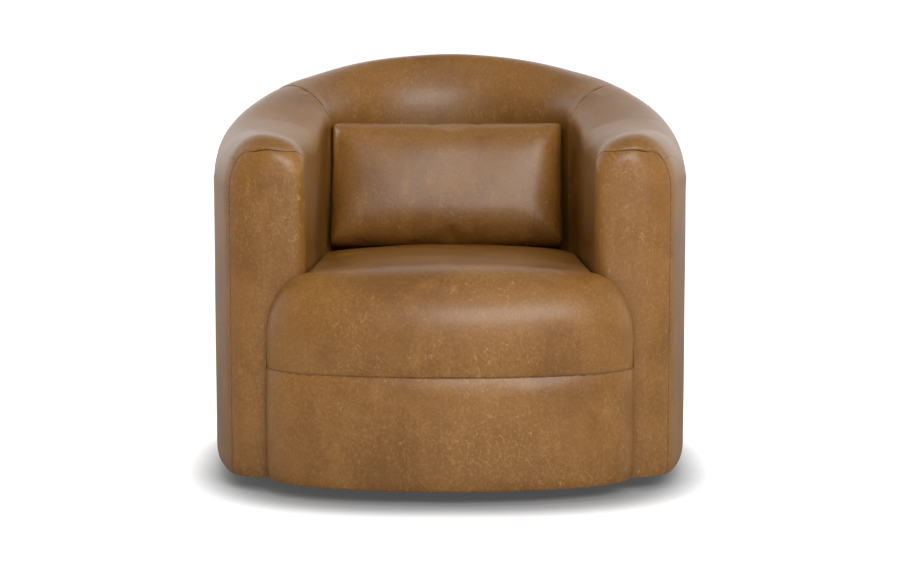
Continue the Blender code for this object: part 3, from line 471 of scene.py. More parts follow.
# %% The seam between an arm and its front panel
PANEL_SEAM = 0.031
SEAM_PLACES = [1.00, 1.14, 1.22, 1.27, 1.316, 1.394, 1.470, 1.520, 1.600, 1.660, 1.700, 1.740, 1.800, 2.00]
SEAM_BEHIND = [30.0, 30.0, 24.0, 16.5, 11.5, 8.8, 8.4, 8.6, 12.0, 16.5, 23.5, 28.0, 31.0, 31.0]
SEAM_PLACE = np.linspace(0.8, 2.2, 1401)
SEAM_LINE = running_mean(np.interp(SEAM_PLACE, SEAM_PLACES, SEAM_BEHIND), 41) / 1000


def behind_front(around):
    """Distance of the panel's seam behind the front face: straight lines between measured millimetres,
    smoothed."""
    return np.interp(around, SEAM_PLACE, SEAM_LINE)


def to_panel_seam(run):
    """Distance along the arm to where the panel's seam goes down its outside."""
    return ARM_END - PANEL_SEAM - np.abs(run)


def outside_edge(run):
    """Where on the arch the padding ends and the outside leather begins: at 2, the shoulder's foot, and
    further up the shoulder near the arm's front, where this seam turns into the panel's."""
    return 2.0 - 0.20 * between(to_panel_seam(run), 0.26, 0) ** 1.3


def edge_strength(run):
    """How plainly the seam under the padding's outer edge shows: less towards the arm's front."""
    return 0.2 + 0.8 * between(to_panel_seam(run), 0.05, 0.21)


def groove(around):
    """How plainly the panel's seam shows, as a share of SEAM_ROLL: all of it over the top, and almost nothing
    down the inner corner and down the outside."""
    least = 0.0003 / SEAM_ROLL
    return least + (1 - least) * between(around, 1.33, 1.45) * (1 - 0.92 * between(around, 1.64, 1.74))


def roll_angle(back_from_front):
    """The front corner as an angle from 0, where it begins, to a quarter turn at the front face."""
    return np.arcsin(np.clip(1 - back_from_front / OUTER_CORNER, 0, 1))


# %% Arms
OUTER_LENGTH = 0.50
ARM_LENGTH = 0.56
AROUND_FRONT = np.concatenate([AROUND_BACK, 2 + steps(OUTER_LENGTH, 0.0050)[1:] / OUTER_LENGTH])
LIP = 0.0021
LIP_PLACE = 0.0048
LIP_WIDTH = 0.0024


def make_arm(side):
    """An arm from the back's seam to its front panel's seam. Each line along the arm is cut into the same
    number of steps, straight on and then round the front corner. Over the front edge the leather ends in a
    narrow lip, a bell-shaped ridge beside the panel's seam."""
    far = AROUND_BACK
    begin = arm_seam(far) + SEAM_GAP
    straight = ARM_END - OUTER_CORNER - begin
    past_top = np.maximum(far - ARCH_TOP, 0)
    at_panel = far - 0.4 * past_top
    length = straight + OUTER_CORNER * roll_angle(behind_front(at_panel) + SEAM_GAP)
    share = steps(ARM_LENGTH, 0.0036)[:, None] / ARM_LENGTH
    to_back = share * length
    to_panel = length - to_back
    angle = np.clip((to_back - straight) / OUTER_CORNER, 0, math.pi / 2)
    run = np.where(to_back < straight, begin + to_back, ARM_END - OUTER_CORNER * (1 - np.sin(angle)))
    edge = outside_edge(run)
    around = far - past_top * (2 - edge) / (2 - ARCH_TOP)
    flat = wall_surface(run, around)
    to_edge = np.where(past_top > 0, (edge - around) * SHOULDER_LENGTH, 1.0)
    plain = groove(around)
    faint = edge_strength(run)
    depth = seam_roll(to_back) + seam_roll(to_panel) * plain + seam_roll(to_edge) * faint
    over_front = between(around, 1.24, 1.32) * between(around, 1.76, 1.66)
    depth = depth - LIP * np.exp(-(((to_panel - LIP_PLACE) / LIP_WIDTH) ** 2)) * over_front
    seed = 11 if side > 0 else 21
    depth = depth + puckers(seam_climb(flat), to_back, pitch=0.021, height=0.0011, reach=0.016, seed=seed)
    depth = depth + puckers(run, to_edge, pitch=0.024, height=0.0007, reach=0.014, seed=seed + 2)
    soft = unevenness(flat, [(0.22, 0.0010), (0.08, 0.0003)], seed=seed + 3) + 0.0007
    depth = depth + soft * between(to_back, 0, SEAM_CALM) * between(to_panel, 0, 0.02)
    grid = wall_surface(side * run, around, depth)
    crease = np.maximum(np.maximum(creased(to_back), creased(to_panel) * plain), creased(to_edge) * faint)
    hidden_begin = (SEAM_FOOT + SEAM_CREST) / 2
    hidden_run = side * (hidden_begin + share[:, 0] * (ARM_END - OUTER_CORNER - hidden_begin - 0.004))
    name = "arm_pad_right" if side > 0 else "arm_pad_left"
    return padded_shell(name, grid, frame_side(hidden_run, grid.shape[1]), crease)


arm_pads = {name: make_arm(side) for name, side in (("left", -1), ("right", 1))}
for pad in arm_pads.values():
    say(pad)

# %% [markdown]
# ## The arms' front panels
# A front panel is a tall stuffed face. Its seam rounds the corner beside the arm's leather, and the leather
# then runs flat across the face. All its lines end on one upright line down the face's middle, the spine,
# and both halves of the arch meet there. The face bulges softly where nothing touches it, above the seat's
# ears.

# %% Arm fronts
SPINE_X = ARM_MIDDLE - 0.011
SPINE_FOOT = HEM + 0.012
SPINE_TOP = 0.560
FACE_LENGTH = 0.110
FACE_SWELL = 0.0030


def make_arm_front(side):
    """An arm's padded front panel: from its seam round the front corners, then over the flat front face to a
    line down the middle of it, and on the hidden side straight in to a line at the corner's back."""
    around = AROUND_FRONT
    seam_angle = roll_angle(behind_front(around) - SEAM_GAP)
    arc = OUTER_CORNER * (math.pi / 2 - seam_angle)
    across_face = 0.041 - 0.011 * between(around, 1.25, 1.75)
    travelled = steps(FACE_LENGTH, 0.0022, end=False)[:, None] / FACE_LENGTH * (arc + across_face)
    angle = np.clip(seam_angle + travelled / OUTER_CORNER, 0, math.pi / 2)
    run = ARM_END - OUTER_CORNER * (1 - np.sin(angle))
    onto_face = np.clip((travelled - arc) / across_face, 0, 1)
    flat = wall_surface(run, around)
    seed = 31 if side > 0 else 41
    plain = groove(around)
    depth = (seam_roll(travelled) + 0.20 * fold_in(travelled, 0.014)) * plain + hem_tuck(flat[..., 2])
    soft = unevenness(flat, [(0.16, 0.0009), (0.06, 0.0003)], seed=seed + 1) + 0.0006
    depth = depth + soft * between(travelled, 0, 0.02) * between(onto_face, 1, 2 / 3)
    grid = wall_surface(run, around, depth)
    climb = np.clip(1 - np.abs(around / ARCH_TOP - 1), 0, 1)
    spine_z = SPINE_FOOT + climb * (SPINE_TOP - SPINE_FOOT)
    grid[..., 0] = grid[..., 0] * (1 - onto_face) + SPINE_X * onto_face
    grid[..., 2] = grid[..., 2] * (1 - onto_face) + spine_z * onto_face
    x, _, z = np.moveaxis(grid, -1, 0)
    off_middle = np.clip((x - ARM_MIDDLE + 0.004) / 0.034, -1, 1)
    free = between(z, 0.40, 0.46) * between(z, 0.59, 0.54)
    dents = (unevenness(grid, [(0.10, 0.0010)], seed=seed + 3) + 0.0006) * between(onto_face, 0, 0.5)
    grid[..., 1] += at_least(dents, 0.0) - FACE_SWELL * (1 - off_middle**2) ** 2 * free
    hidden = grid_of(SPINE_X, -ARM_REACH + OUTER_CORNER + 0.002, spine_z)
    rows = np.concatenate([hidden[None], grid]) * np.array([side, 1.0, 1.0])
    crease = np.concatenate([np.ones((1, len(around))), creased(travelled) * plain**2])
    count, columns, _ = rows.shape
    index = np.arange(count * columns).reshape(count, columns)
    quads = np.concatenate([quads_of(count, columns), rim_quads(index[:, 0], index[:, -1])])
    return piece("arm_front_right" if side > 0 else "arm_front_left", rows, quads, crease)


arm_fronts = {name: make_arm_front(side) for name, side in (("left", -1), ("right", 1))}
for pad in arm_fronts.values():
    say(pad)

# %% [markdown]
# ## The outside leather
# One tall sheet is stretched round the outside of the arms and back, over the bent plywood panel. It is a
# thin skin with nothing soft behind it, so it stays smooth, and only its edges roll: into the seam under
# the crest's padding, into the two seams beside the front panels, and under the frame at the hem.

# %% Outside leather
OUTSIDE_HEIGHT = 0.60


def make_outside():
    """Runs round the whole outside, and steps up from the hem to the padding's edge. Near the arms' fronts
    that edge lies on the shoulder, so the last steps follow the arch. Returns the sheet and its area."""
    end = ARM_END - PANEL_SEAM - SEAM_GAP
    run = steps(2 * end, 0.0070)[:, None] - end
    tall = wall_edges(run, 0.0)[2] - OUTER_SHOULDER - HEM
    over = (2.0 - outside_edge(run)) * SHOULDER_LENGTH
    climbed = steps(OUTSIDE_HEIGHT, 0.0055)[None, :] / OUTSIDE_HEIGHT * (tall + over)
    around = np.where(climbed < tall, 3.0 - climbed / tall, 2.0 - (climbed - tall) / SHOULDER_LENGTH)
    flat = wall_surface(run, around)
    to_front = end - np.abs(run) + 0 * around
    to_top = tall + over - climbed
    to_side_seam = np.abs(np.abs(run) - SEAM_CREST) + 0 * around
    faint = edge_strength(run)
    depth = seam_roll(to_front, 0.0004) + seam_roll(to_top) * faint + hem_tuck(flat[..., 2])
    depth = depth + 0.8 * seam_roll(to_side_seam, 0.0020)
    depth = depth + puckers(flat[..., 2], to_front, pitch=0.020, height=0.0005, reach=0.010, seed=51)
    depth = depth + puckers(flat[..., 2], to_side_seam, pitch=0.022, height=0.0005, reach=0.012, seed=52)
    soft = at_least(unevenness(flat, [(0.30, 0.0005)], seed=53) + 0.0003, 0.0, 0.0003)
    depth = depth + soft * between(to_front, 0, SEAM_CALM) * between(to_top, 0, SEAM_CALM)
    grid = wall_surface(run, around, depth)
    crease = np.maximum(np.maximum(0.04 * creased(to_front), creased(to_top) * faint), creased(to_side_seam))
    cover = piece("outside_leather", grid, quads_of(*around.shape), crease, closed=False)
    cross = cover.data.polygons[len(cover.data.polygons) // 2]
    if cross.normal.y * cross.center.y + cross.normal.x * cross.center.x < 0:
        cover.data.flip_normals()
    wall = cover.modifiers.new("thickness", "SOLIDIFY")
    wall.thickness = LEATHER
    wall.offset = -1
    edges = np.linalg.norm(np.diff(grid, axis=0), axis=-1)[:, :-1]
    rises = np.linalg.norm(np.diff(grid, axis=1), axis=-1)[:-1]
    return cover, float((edges * rises).sum())


outside, outside_area = make_outside()
say(outside)
print("outside leather's area:", round(outside_area, 3), "square metres")

# %% [markdown]
# ## The seat
# The seat is a deep pad, T-shaped at the front, where it bulges out over the base and its two ears cover
# the arms' inner front corners. Seen from above, its front is half an ellipse; from the side it rolls over
# in a quarter ellipse that is boxier in the middle, where the filling is firmest. Inside the tub it is a
# patch stretched between that roll, the two arms and the round back. Its edges sink where they meet the
# arms, which shades the line between them, and painted shade along its edges and its seam darkens that
# line further. Below the roll a short skirt draws in to the seam of the base.

# %% Measures of the seat and the base front
SEAT_SEAM = 0.222
SEAT_BULGE = 0.272
SEAT_EDGE_HEIGHT = 0.386
SEAT_CROWN = 0.018
SEAT_FRONT_DEPTH = 0.131
SEAT_BACK_DROP = 0.012
SEAT_FULLNESS = 0.55
SEAT_SIDE_GAP = 0.0014
SEAT_LENGTH = 0.55
SIDE_SINK = 0.016
BACK_SINK = 0.018
SEAT_BACK_RUN = MID_RADIUS * math.radians(58)
FRONT_WALL = ARM_REACH + 0.0010
SEAT_HALF = ARM_MIDDLE + 0.0127
BASE_DEPTH = SEAT_FRONT_DEPTH - 0.004
BASE_TOP = SEAT_SEAM - 0.0003
BASE_LEAN = 0.0062
BASE_LEAN_HEIGHT = 0.034
BASE_SWELL = 0.0025
BASE_PADDING = 0.0125
SKIRT_TUCK = 0.0065
SKIRT_NARROW = 0.0015
SEAT_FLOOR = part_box("seat_foam")[0].z
print("seat", round(2000 * SEAT_HALF), "mm wide at its front")


def front_bow(angle, depth, inset):
    """The bowed front in plan: half an ellipse before the arms' front face, drawn in by an inset."""
    return (SEAT_HALF - inset) * np.cos(angle), -FRONT_WALL - (depth - inset) * np.sin(angle)


# %% The seat's surface
def inner_point(run, gap):
    """Point in plan on the tub's inner side, less a gap."""
    return off_wall(run, -(inner_half(run) + gap))


FRONT_HALF = ARM_MIDDLE - inner_half(ARM_END) - SEAT_SIDE_GAP


def seat_roll(across, roll):
    """Points of the rolled front for shares across (-1 to 1) and angles of the roll (0 to a quarter turn).
    Its profile is an ellipse at the ears and grows to a superellipse of power 2 + SEAT_FULLNESS in the
    middle."""
    half = FRONT_HALF + (SEAT_HALF - FRONT_HALF) * np.cos(roll)
    fuller = 2 / (2 + SEAT_FULLNESS * (1 - across**2))
    bow = SEAT_FRONT_DEPTH * np.cos(roll) ** fuller
    spread = np.sqrt(np.clip(np.cos(roll), 0, 1))
    plan = spread * np.sin(across * math.pi / 2) + (1 - spread) * across
    y = -FRONT_WALL - bow * np.sqrt(np.clip(1 - plan**2, 0, 1))
    top = SEAT_EDGE_HEIGHT + SEAT_CROWN * (1 - across**2) * np.sin(roll)
    return grid_of(half * plan, y, SEAT_BULGE + (top - SEAT_BULGE) * np.sin(roll) ** fuller)


def seat_top(across, back):
    """Points of the seat inside the tub for shares across and shares of the way back: the sum of the two
    ruled surfaces between opposite edges, minus the one through the corners (a Coons patch). The front edge
    is straight, so its terms cancel."""
    rear_x, rear_y = inner_point(SEAT_BACK_RUN * across, SEAT_SIDE_GAP)
    side_x, side_y = inner_point(ARM_END + (SEAT_BACK_RUN - ARM_END) * back, SEAT_SIDE_GAP)
    corner_x, corner_y = inner_point(np.array([SEAT_BACK_RUN]), SEAT_SIDE_GAP)
    x = back * rear_x + (side_x - back * corner_x) * across
    y = back * rear_y + side_y - back * corner_y
    crown = SEAT_CROWN * (1 - across**2) * (1 - back**2)
    return grid_of(x, y, SEAT_EDGE_HEIGHT + crown - SEAT_BACK_DROP * back**2)


# %% Seat
def seat_form():
    """The smooth seat in three strips of rows: the skirt down to the seam, the front roll and the top. Also
    the angle of each column in plan, each row's share of lying on top, and its distance to the back."""
    across = steps(2.0, 0.0125, fine=0.0016)[None, :] - 1
    angle = math.pi / 2 * (1 - across)
    low = steps(1.0, 0.055, fine=0.01, end=False)[:-1, None]
    bulge = np.sin(low * math.pi / 2) ** 0.75
    bow = SEAT_FRONT_DEPTH - (SEAT_FRONT_DEPTH - BASE_DEPTH + SKIRT_TUCK) * (1 - bulge)
    x = (SEAT_HALF - SKIRT_NARROW * (1 - bulge)) * np.cos(angle)
    y = -FRONT_WALL - bow * np.sin(angle)
    skirt = grid_of(x, y, SEAT_SEAM + (SEAT_BULGE - SEAT_SEAM) * low)
    roll = np.clip(np.linspace(0, math.pi / 2, 54), 0, math.pi / 2 - 1e-9)[:, None]
    back = steps(1.0, 0.0085, start=False)[1:, None]
    grid = np.concatenate([skirt, seat_roll(across, roll), seat_top(across, back)])
    on_top = np.concatenate([0 * low, between(np.sin(roll), 0.55, 1.0), np.ones_like(back)])
    to_back = np.concatenate([np.ones_like(low), np.ones_like(roll), (1 - back) * SEAT_LENGTH])
    return across, angle, grid, on_top, to_back


def make_seat():
    """The seat's visible surface, sunk at its edges and gathered at its seams, closed by walls down to its
    floor."""
    across, angle, grid, on_top, to_back = seat_form()
    to_side = (1 - np.abs(across)) * np.abs(grid[:, -1:, 0]) * 1.2
    sink = 0.85 * fold_in(to_side, SIDE_SINK) * on_top + 0.8 * fold_in(to_back, BACK_SINK)
    gathers = puckers(grid[..., 1], to_side, pitch=0.026, height=0.0016, reach=0.020, seed=61) * on_top
    soft = unevenness(grid, [(0.26, 0.0010), (0.075, 0.0004)], seed=62)
    inner = between(to_side, 0, 0.05)
    grid[..., 2] -= sink + gathers + soft * inner * on_top
    dents = unevenness(grid, [(0.16, 0.0014)], seed=64) * (1 - on_top) * inner
    grid[..., 1] += at_least(dents, -0.0008)
    to_seam = grid[..., 2] - SEAT_SEAM
    gathers = puckers(grid[..., 0], to_seam, pitch=0.023, height=0.0013, reach=0.018, seed=65)
    grid[..., 1] += gathers * np.sin(angle) ** 0.5
    # Painted shade: the crease value darkens the seam to the base and, as a painted contact shadow, the
    # seat's edges against the arms and the back.
    crease = np.maximum(0.8 * creased(to_seam, 0.003), creased(to_side, 0.005))
    crease = np.maximum(crease, creased(to_back, 0.006))
    rows, columns, _ = grid.shape
    index = np.arange(rows * columns).reshape(rows, columns)
    loop = np.concatenate([index[0], index[1:, -1], index[-1, -2::-1], index[-2:0:-1, 0]])
    points = grid.reshape(-1, 3)
    under = points[loop] * np.array([1.0, 1.0, 0.0]) + np.array([0.0, 0.0, SEAT_FLOOR])
    lower = len(points) + np.arange(len(loop))
    walls = rim_quads(np.append(loop, loop[0]), np.append(lower, lower[0]))
    quads = np.concatenate([quads_of(rows, columns), walls])
    deep = np.append(crease, np.ones(len(loop)))
    return piece("seat_pad", np.concatenate([points, under]), quads, deep, caps=[lower.tolist()])


seat_pad = make_seat()
say(seat_pad)

# %% [markdown]
# ## The base front
# Under the seat an apron of leather is stretched over a bent board. It stands almost upright, leans in a
# little just under the seat's seam, swells by a few millimetres in the middle and turns under at the hem.

# %% Base front
def make_base_front():
    """The apron: the bow in plan for each height, with its lean, swell, seam roll and hem written as one
    depth, before a plain grid that lies on the board."""
    angle = math.pi * steps(1.0, 0.0062, fine=0.0008)[:, None]
    height = HEM + steps(BASE_TOP - HEM, 0.0040)[None, :]
    share = (height - HEM) / (SEAT_SEAM - HEM)
    flat = grid_of(*front_bow(angle, BASE_DEPTH, 0.0), height)
    to_top = BASE_TOP - height + 0 * angle
    sine = np.sin(angle)
    lean = BASE_LEAN * np.clip(1 - to_top / BASE_LEAN_HEIGHT, 0, 1) ** 2 * between(sine, 0, 0.75)
    depth = lean + seam_roll(to_top) + hem_tuck(height)
    depth = depth + puckers(flat[..., 0], to_top, pitch=0.023, height=0.0007, reach=0.020, seed=71)
    soft = unevenness(flat, [(0.15, 0.0013), (0.06, 0.0005)], seed=72)
    depth = depth + soft * between(to_top, 0, SEAM_CALM) * between(sine, 0, 0.25)
    swell = BASE_SWELL * np.sin(math.pi * share) * sine**0.5
    grid = grid_of(*front_bow(angle, BASE_DEPTH, at_least(depth - swell, -0.003)), height)
    low, high = (corner.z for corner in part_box("base_front_padding"))
    hidden = grid_of(*front_bow(angle, BASE_DEPTH, BASE_PADDING), low + (high - low) * share)
    return padded_shell("base_front", grid, hidden, creased(to_top, 0.003))


base_front = make_base_front()
say(base_front)

# %% [markdown]
# ## The lumbar pillow
# A loose pillow of two hides sewn edge to edge and tightly filled, so its faces are boxy: they rise fast
# from the seam and lie nearly flat in the middle. Each starts as such a form; then the cover is blown up a
# little as cloth with its seam held, so that the leather pulls between its corners the way a filled cover
# does. The pillow is wider than the round tub leaves room for, so at the end its corners are pressed
# forwards.

# %% Pillow measures and its two faces
PILLOW_WIDTH = 0.441
PILLOW_HEIGHT = 0.237
PILLOW_THICKNESS = 0.130
PILLOW_LEAN = math.radians(16)
PILLOW_DRAW = 0.0015
PILLOW_CORNER = 0.0035
PILLOW_SHOULDER = 0.070
PILLOW_RIDGE = 0.024
PILLOW_BOXY = 2.4
PILLOW_SLACK = 0.90
PILLOW_SHIFT = np.array([-0.003, -0.020, 0.004])


def pillow_grid(across, up, facing, fullness=1.0):
    """One face of the pillow on a grid of shares across and up, closer together towards the seam: a rectangle
    with slightly rounded corners. Its thickness grows with the distance from the nearest seam like a
    superellipse, and the softened least of the two distances leaves a faint ridge from each corner."""
    u = np.sin(np.linspace(-1, 1, across) * math.pi / 2)[:, None]
    v = np.sin(np.linspace(-1, 1, up) * math.pi / 2)[None, :]
    x = u * (PILLOW_WIDTH / 2 - PILLOW_DRAW * (1 - v**2) * u**2 - PILLOW_CORNER * v**24)
    z = v * (PILLOW_HEIGHT / 2 - PILLOW_DRAW * (1 - u**2) * v**2 - PILLOW_CORNER * u**40)
    side = (1 - np.abs(u)) * PILLOW_WIDTH / 2
    edge = (1 - np.abs(v)) * PILLOW_HEIGHT / 2
    blend = np.minimum(PILLOW_RIDGE, 0.75 * np.maximum(side, edge)) + 1e-9
    off = np.minimum(side, edge) - np.maximum(blend - np.abs(side - edge), 0) ** 2 / (4 * blend)
    share = np.clip(off / PILLOW_SHOULDER, 0, 1)
    swell = np.clip(1 - (1 - share) ** PILLOW_BOXY, 0, 1) ** 0.5
    return grid_of(x, facing * PILLOW_THICKNESS / 2 * fullness * swell, z)


def leaning(points):
    """Tilt the pillow back about the middle of its lower edge."""
    x, y, z = np.moveaxis(points, -1, 0)
    up = z + PILLOW_HEIGHT / 2
    cos, sin = math.cos(PILLOW_LEAN), math.sin(PILLOW_LEAN)
    return grid_of(x, y * cos + up * sin, up * cos - y * sin)


def pillow_spot():
    """Where the pillow stands: the middle and the lower front edge of its plain front cover, less those of
    the same face here, and the shift that clears the fuller arms."""
    least = leaning(pillow_grid(15, 10, -1)).reshape(-1, 3).min(0)
    low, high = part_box("pillow_front_cover")
    return np.array([(low.x + high.x) / 2, low.y - least[1], low.z - least[2]]) + PILLOW_SHIFT


PILLOW_SPOT = pillow_spot()
print("pillow stands at", PILLOW_SPOT.round(4).tolist())

# %% The pillow blown up as cloth
CLOTH_FRAMES = 20
CLOTH_LIMIT = 0.009
CLOTH = {
    "use_pressure": True,
    "uniform_pressure_force": 2.5,
    "shrink_min": -0.003,
    "tension_stiffness": 25.0,
    "compression_stiffness": 25.0,
    "bending_stiffness": 8.0,
    "mass": 0.4,
    "vertex_group_mass": "seam",
}


def blown_up(grids):
    """Blow a cover of two grids up as cloth with its seam pinned: pressure inside, no gravity, and cloth a
    hair larger than the form. Returns how far each grid's points moved, eased off towards CLOTH_LIMIT."""
    rows, columns, _ = grids[0].shape
    size = rows * columns
    index = np.arange(size).reshape(rows, columns)
    rim = np.concatenate([index[0], index[-1], index[:, 0], index[:, -1]])
    twin = np.arange(size) + size
    twin[rim] = rim
    back = twin[quads_of(rows, columns)][:, ::-1]
    points = np.concatenate(grids).reshape(-1, 3)
    mesh = bpy.data.meshes.new("cover_cloth")
    mesh.from_pydata(points.tolist(), [], np.concatenate([quads_of(rows, columns), back]).tolist())
    cover = bpy.data.objects.new("cover_cloth", mesh)
    scene.collection.objects.link(cover)
    pins = cover.vertex_groups.new(name="seam")
    pins.add(np.append(rim, rim + size).tolist(), 1.0, "REPLACE")
    cloth = cover.modifiers.new("cloth", "CLOTH").settings
    for key, value in CLOTH.items():
        setattr(cloth, key, value)
    cloth.effector_weights.gravity = 0.0
    for number in range(1, CLOTH_FRAMES + 1):
        scene.frame_set(number)
    settled = cover.evaluated_get(bpy.context.evaluated_depsgraph_get()).data
    moved = np.empty(len(points) * 3)
    settled.vertices.foreach_get("co", moved)
    moved = moved.reshape(-1, 3) - points
    moved[size + rim] = 0.0
    far = np.linalg.norm(moved, axis=1, keepdims=True)
    moved = moved * CLOTH_LIMIT * np.tanh(far / CLOTH_LIMIT) / np.maximum(far, 1e-9)
    scene.frame_set(1)
    bpy.data.objects.remove(cover, do_unlink=True)
    print("cover moved by up to", round(float(far.max()) * 1000, 1), "mm")
    return moved.reshape(2, rows, columns, 3)


def finer(grid, rows, columns):
    """A grid of values read at more places, along each axis in turn: between two points the curve is the
    cubic whose slope at a point is half the difference of its neighbours."""
    for axis, count in ((0, rows), (1, columns)):
        last = grid.shape[axis] - 1
        place = np.linspace(0, last, count)
        low = np.minimum(place.astype(int), last - 1)
        t = place - low
        weights = (
            (-t + 2 * t**2 - t**3) / 2,
            (2 - 5 * t**2 + 3 * t**3) / 2,
            (t + 4 * t**2 - 3 * t**3) / 2,
            (-(t**2) + t**3) / 2,
        )
        shape = [1, 1, 1]
        shape[axis] = count
        near = [np.take(grid, np.clip(low + k, 0, last), axis) for k in (-1, 0, 1, 2)]
        grid = sum(weight.reshape(shape) * values for weight, values in zip(weights, near))
    return grid


# %% The pillow pressed into the tub
def inner_radius(turn, z):
    """Radius of the tub's inner side round the back, at a turn from the back's middle and a height: the
    mid-line's radius less the wall's inner half, which shrinks over the shoulder like its superellipse."""
    run = MID_RADIUS * turn
    crest = rim_height(MID_RADIUS * np.cos(turn))
    up = np.clip(1 - (crest - z) / inner_shoulder(run), 0, 1)
    return MID_RADIUS - inner_half(run) * (1 - up**SHOULDER_CURVE) ** (1 / SHOULDER_CURVE)


PRESS_ROUNDS = 5
PRESS_ASIDE = 0.15
PRESS_FORWARDS = 1.5
PRESS_ROOM = 0.002


def pressed_in(points, blur):
    """How far points have to move to lie inside the tub, PRESS_ROOM off its leather: in a few rounds each is
    moved by its distance past the inner side, mostly forwards. The blur rounds off where this begins."""
    spot = points.copy()
    for _ in range(PRESS_ROUNDS):
        x, y, z = np.moveaxis(spot, -1, 0)
        radius = np.hypot(x, y)
        past = at_least(radius + PRESS_ROOM - inner_radius(np.arctan2(np.abs(x), y), z), 0.0, blur)
        spot = spot - grid_of(PRESS_ASIDE * x, PRESS_FORWARDS * y, 0.0) * (past / radius)[..., None]
    return spot - points


# %% Pillow
PILLOW_GRID = (190, 110)
CLOTH_GRID = (64, 38)


def make_pillow():
    """Both faces on one grid each, sewn round the edge: the blown-up cover with small gathers along its seam,
    bent by what presses its middle plane into the tub. Its back face is then pressed in on its own."""
    fullness, moves = 1.0, (0.0, 0.0)
    fullness = PILLOW_SLACK
    moves = blown_up([pillow_grid(*CLOTH_GRID, facing, fullness) for facing in (-1, 1)])
    moves = [finer(move, *PILLOW_GRID) for move in moves]
    bent = pressed_in(leaning(pillow_grid(*PILLOW_GRID, 1, 0.0)) + PILLOW_SPOT, 0.006)
    furthest = float(np.linalg.norm(bent, axis=-1).max())
    print("pillow's corners pressed in by up to", round(furthest * 1000, 1), "mm")
    grids = []
    creases = []
    for facing, move in zip((-1, 1), moves):
        spot = pillow_grid(*PILLOW_GRID, facing, fullness) + move
        full = pillow_grid(*PILLOW_GRID, facing)
        x, y, z = np.moveaxis(full, -1, 0)
        off = np.minimum(PILLOW_WIDTH / 2 - np.abs(x), PILLOW_HEIGHT / 2 - np.abs(z))
        soft = unevenness(full, [(0.12, 0.0012)], seed=81 + facing) * between(off, 0, SEAM_CALM)
        gathers = puckers(x + z, off, pitch=0.018, height=0.0012, reach=0.013, seed=87 + facing)
        spot[..., 1] += facing * (soft - gathers * between(off, 0, 0.003))
        if facing > 0:
            spot[..., 1] = np.minimum(spot[..., 1], y)
        placed = leaning(spot) + PILLOW_SPOT + bent
        if facing > 0:
            placed += pressed_in(placed, 0.002) * between(off, 0, 0.012)[..., None]
        grids.append(placed)
        creases.append(creased(off, 0.003))
    rows, columns = PILLOW_GRID
    quads = np.concatenate([quads_of(rows, columns), quads_of(rows, columns, rows * columns)[:, ::-1]])
    return piece("lumbar_pillow", np.concatenate(grids), quads, np.concatenate(creases))


pillow = make_pillow()
say(pillow)

# %% [markdown]
# ## Shader sums in plain Python
# A material is a graph of nodes, and wiring one by hand hides the idea in it. The class below wraps a
# socket, so that an expression such as 1 - mask * 0.4 adds the Math nodes that work it out.

